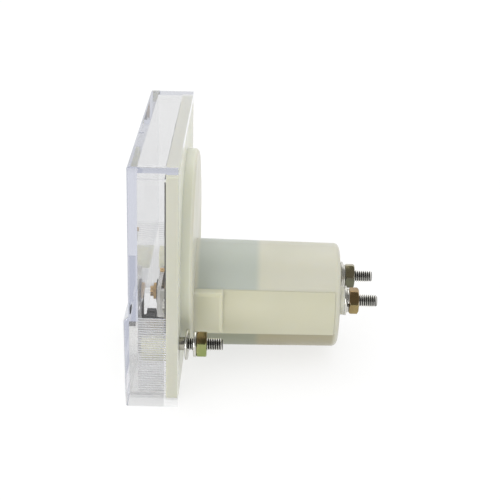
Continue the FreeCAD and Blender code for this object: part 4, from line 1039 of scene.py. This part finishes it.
WHITE = (1, 1, 1, 1)
FLOOR_R = 3.0
FLOOR_PAINT = (0.3, 0.3, 0.3, 1)
FLOOR_SEEN = 0.7            # the floor's own glow, as the rays that show it find it
FLOOR_GLOW = 0.55           # and what it adds to the light from below
CARD_GLOW = 0.2
CARD_TOP = (0.05, 1.1)      # along X and up
CARD_FOOT = (0.9, 0.12)
CARD_HALF_W = 0.5
LAMP_AIM = Vector((0, 15 * MM, 0))


def backdrop_piece(name, bm, material):
    mesh = bpy.data.meshes.new(name)
    bm.to_mesh(mesh)
    bm.free()
    mesh.materials.append(material)
    made = bpy.data.objects.new(name, mesh)
    bpy.context.collection.objects.link(made)
    return made


def seen_rays(tree):
    """1 for the rays that show a backdrop: straight, mirrored or through clear plastic."""
    path = node(tree, "LightPath").outputs
    direct = reckon(tree, "MAXIMUM", path["Is Camera Ray"], path["Is Glossy Ray"])
    return reckon(tree, "MAXIMUM", direct, path["Is Transmission Ray"])


def stage_material(name):
    material = bpy.data.materials.new(name)
    material.use_nodes = True
    material.node_tree.nodes.clear()
    return material


floor_white = stage_material("floor_white")
floor_tree = floor_white.node_tree
floor_paint = node(floor_tree, "BsdfDiffuse", Color=FLOOR_PAINT)
floor_lift = fade(floor_tree, seen_rays(floor_tree), 0.0, 1.0, FLOOR_GLOW, FLOOR_SEEN)
floor_glow = node(floor_tree, "Emission", Color=WHITE, Strength=floor_lift)
floor_sum = node(floor_tree, "AddShader", floor_paint.outputs[0], floor_glow.outputs[0])
node(floor_tree, "OutputMaterial", Surface=floor_sum.outputs[0])
floor_bm = bmesh.new()
bmesh.ops.create_circle(floor_bm, cap_ends=True, segments=64, radius=FLOOR_R)
bmesh.ops.translate(floor_bm, verts=floor_bm.verts, vec=(0, 0, cad_box[0].z))
backdrop_piece("floor", floor_bm, floor_white)

card_dark = stage_material("card_dark")
card_glow = node(card_dark.node_tree, "Emission", Color=WHITE, Strength=CARD_GLOW)
node(card_dark.node_tree, "OutputMaterial", Surface=card_glow.outputs[0])
card_bm = bmesh.new()
card_corners = []
for (x, z), side in ((CARD_TOP, -1), (CARD_TOP, 1), (CARD_FOOT, 1), (CARD_FOOT, -1)):
    card_corners.append(card_bm.verts.new((x, side * CARD_HALF_W, z)))
card_bm.faces.new(card_corners)
card = backdrop_piece("dark_card", card_bm, card_dark)
card.visible_camera = False
card.visible_diffuse = False
card.visible_transmission = False
card.visible_shadow = False
card.visible_volume_scatter = False

world = bpy.data.worlds.new("studio")
bpy.context.scene.world = world
world.use_nodes = True
backdrop = world.node_tree.nodes["Background"]
backdrop.inputs["Color"].default_value = WHITE
backdrop.inputs["Strength"].default_value = 1.0


def softbox(name, place, size, power):
    """A square lamp that looks at the meter's middle."""
    lamp = bpy.data.lights.new(name, "AREA")
    lamp.shape = "SQUARE"
    lamp.size = size
    lamp.energy = power
    holder = bpy.data.objects.new(name, lamp)
    holder.location = place
    holder.rotation_euler = (LAMP_AIM - Vector(place)).to_track_quat("-Z", "Y").to_euler()
    bpy.context.collection.objects.link(holder)


softbox("rear_softbox", place=(-0.4, 0.0, 0.6), size=0.5, power=0.6)
softbox("front_softbox", place=(0.55, -0.3, 0.12), size=0.4, power=1.7)

CAMERA_PLACE = Vector((277.63, 14.76, 109.92)) * MM
CAMERA_YAW = math.radians(0.11)
CAMERA_PITCH = math.radians(21.6)
CAMERA_ROLL = math.radians(1.53)
CAMERA_LENS = 89.73
CAMERA_CLIP = 0.01

camera = bpy.data.objects.new("camera", bpy.data.cameras.new("camera"))
camera.data.lens = CAMERA_LENS
camera.data.clip_start = CAMERA_CLIP
forward = Vector((
    -math.cos(CAMERA_YAW) * math.cos(CAMERA_PITCH),
    math.sin(CAMERA_YAW) * math.cos(CAMERA_PITCH),
    -math.sin(CAMERA_PITCH),
))
level_right = forward.cross(Vector((0, 0, 1))).normalized()
level_up = level_right.cross(forward)
right = math.cos(CAMERA_ROLL) * level_right + math.sin(CAMERA_ROLL) * level_up
up = -math.sin(CAMERA_ROLL) * level_right + math.cos(CAMERA_ROLL) * level_up
facing = Matrix((right, up, -forward)).transposed().to_4x4()
camera.matrix_world = Matrix.Translation(CAMERA_PLACE) @ facing
bpy.context.collection.objects.link(camera)
bpy.context.scene.camera = camera
bpy.context.scene.view_settings.view_transform = "Standard"
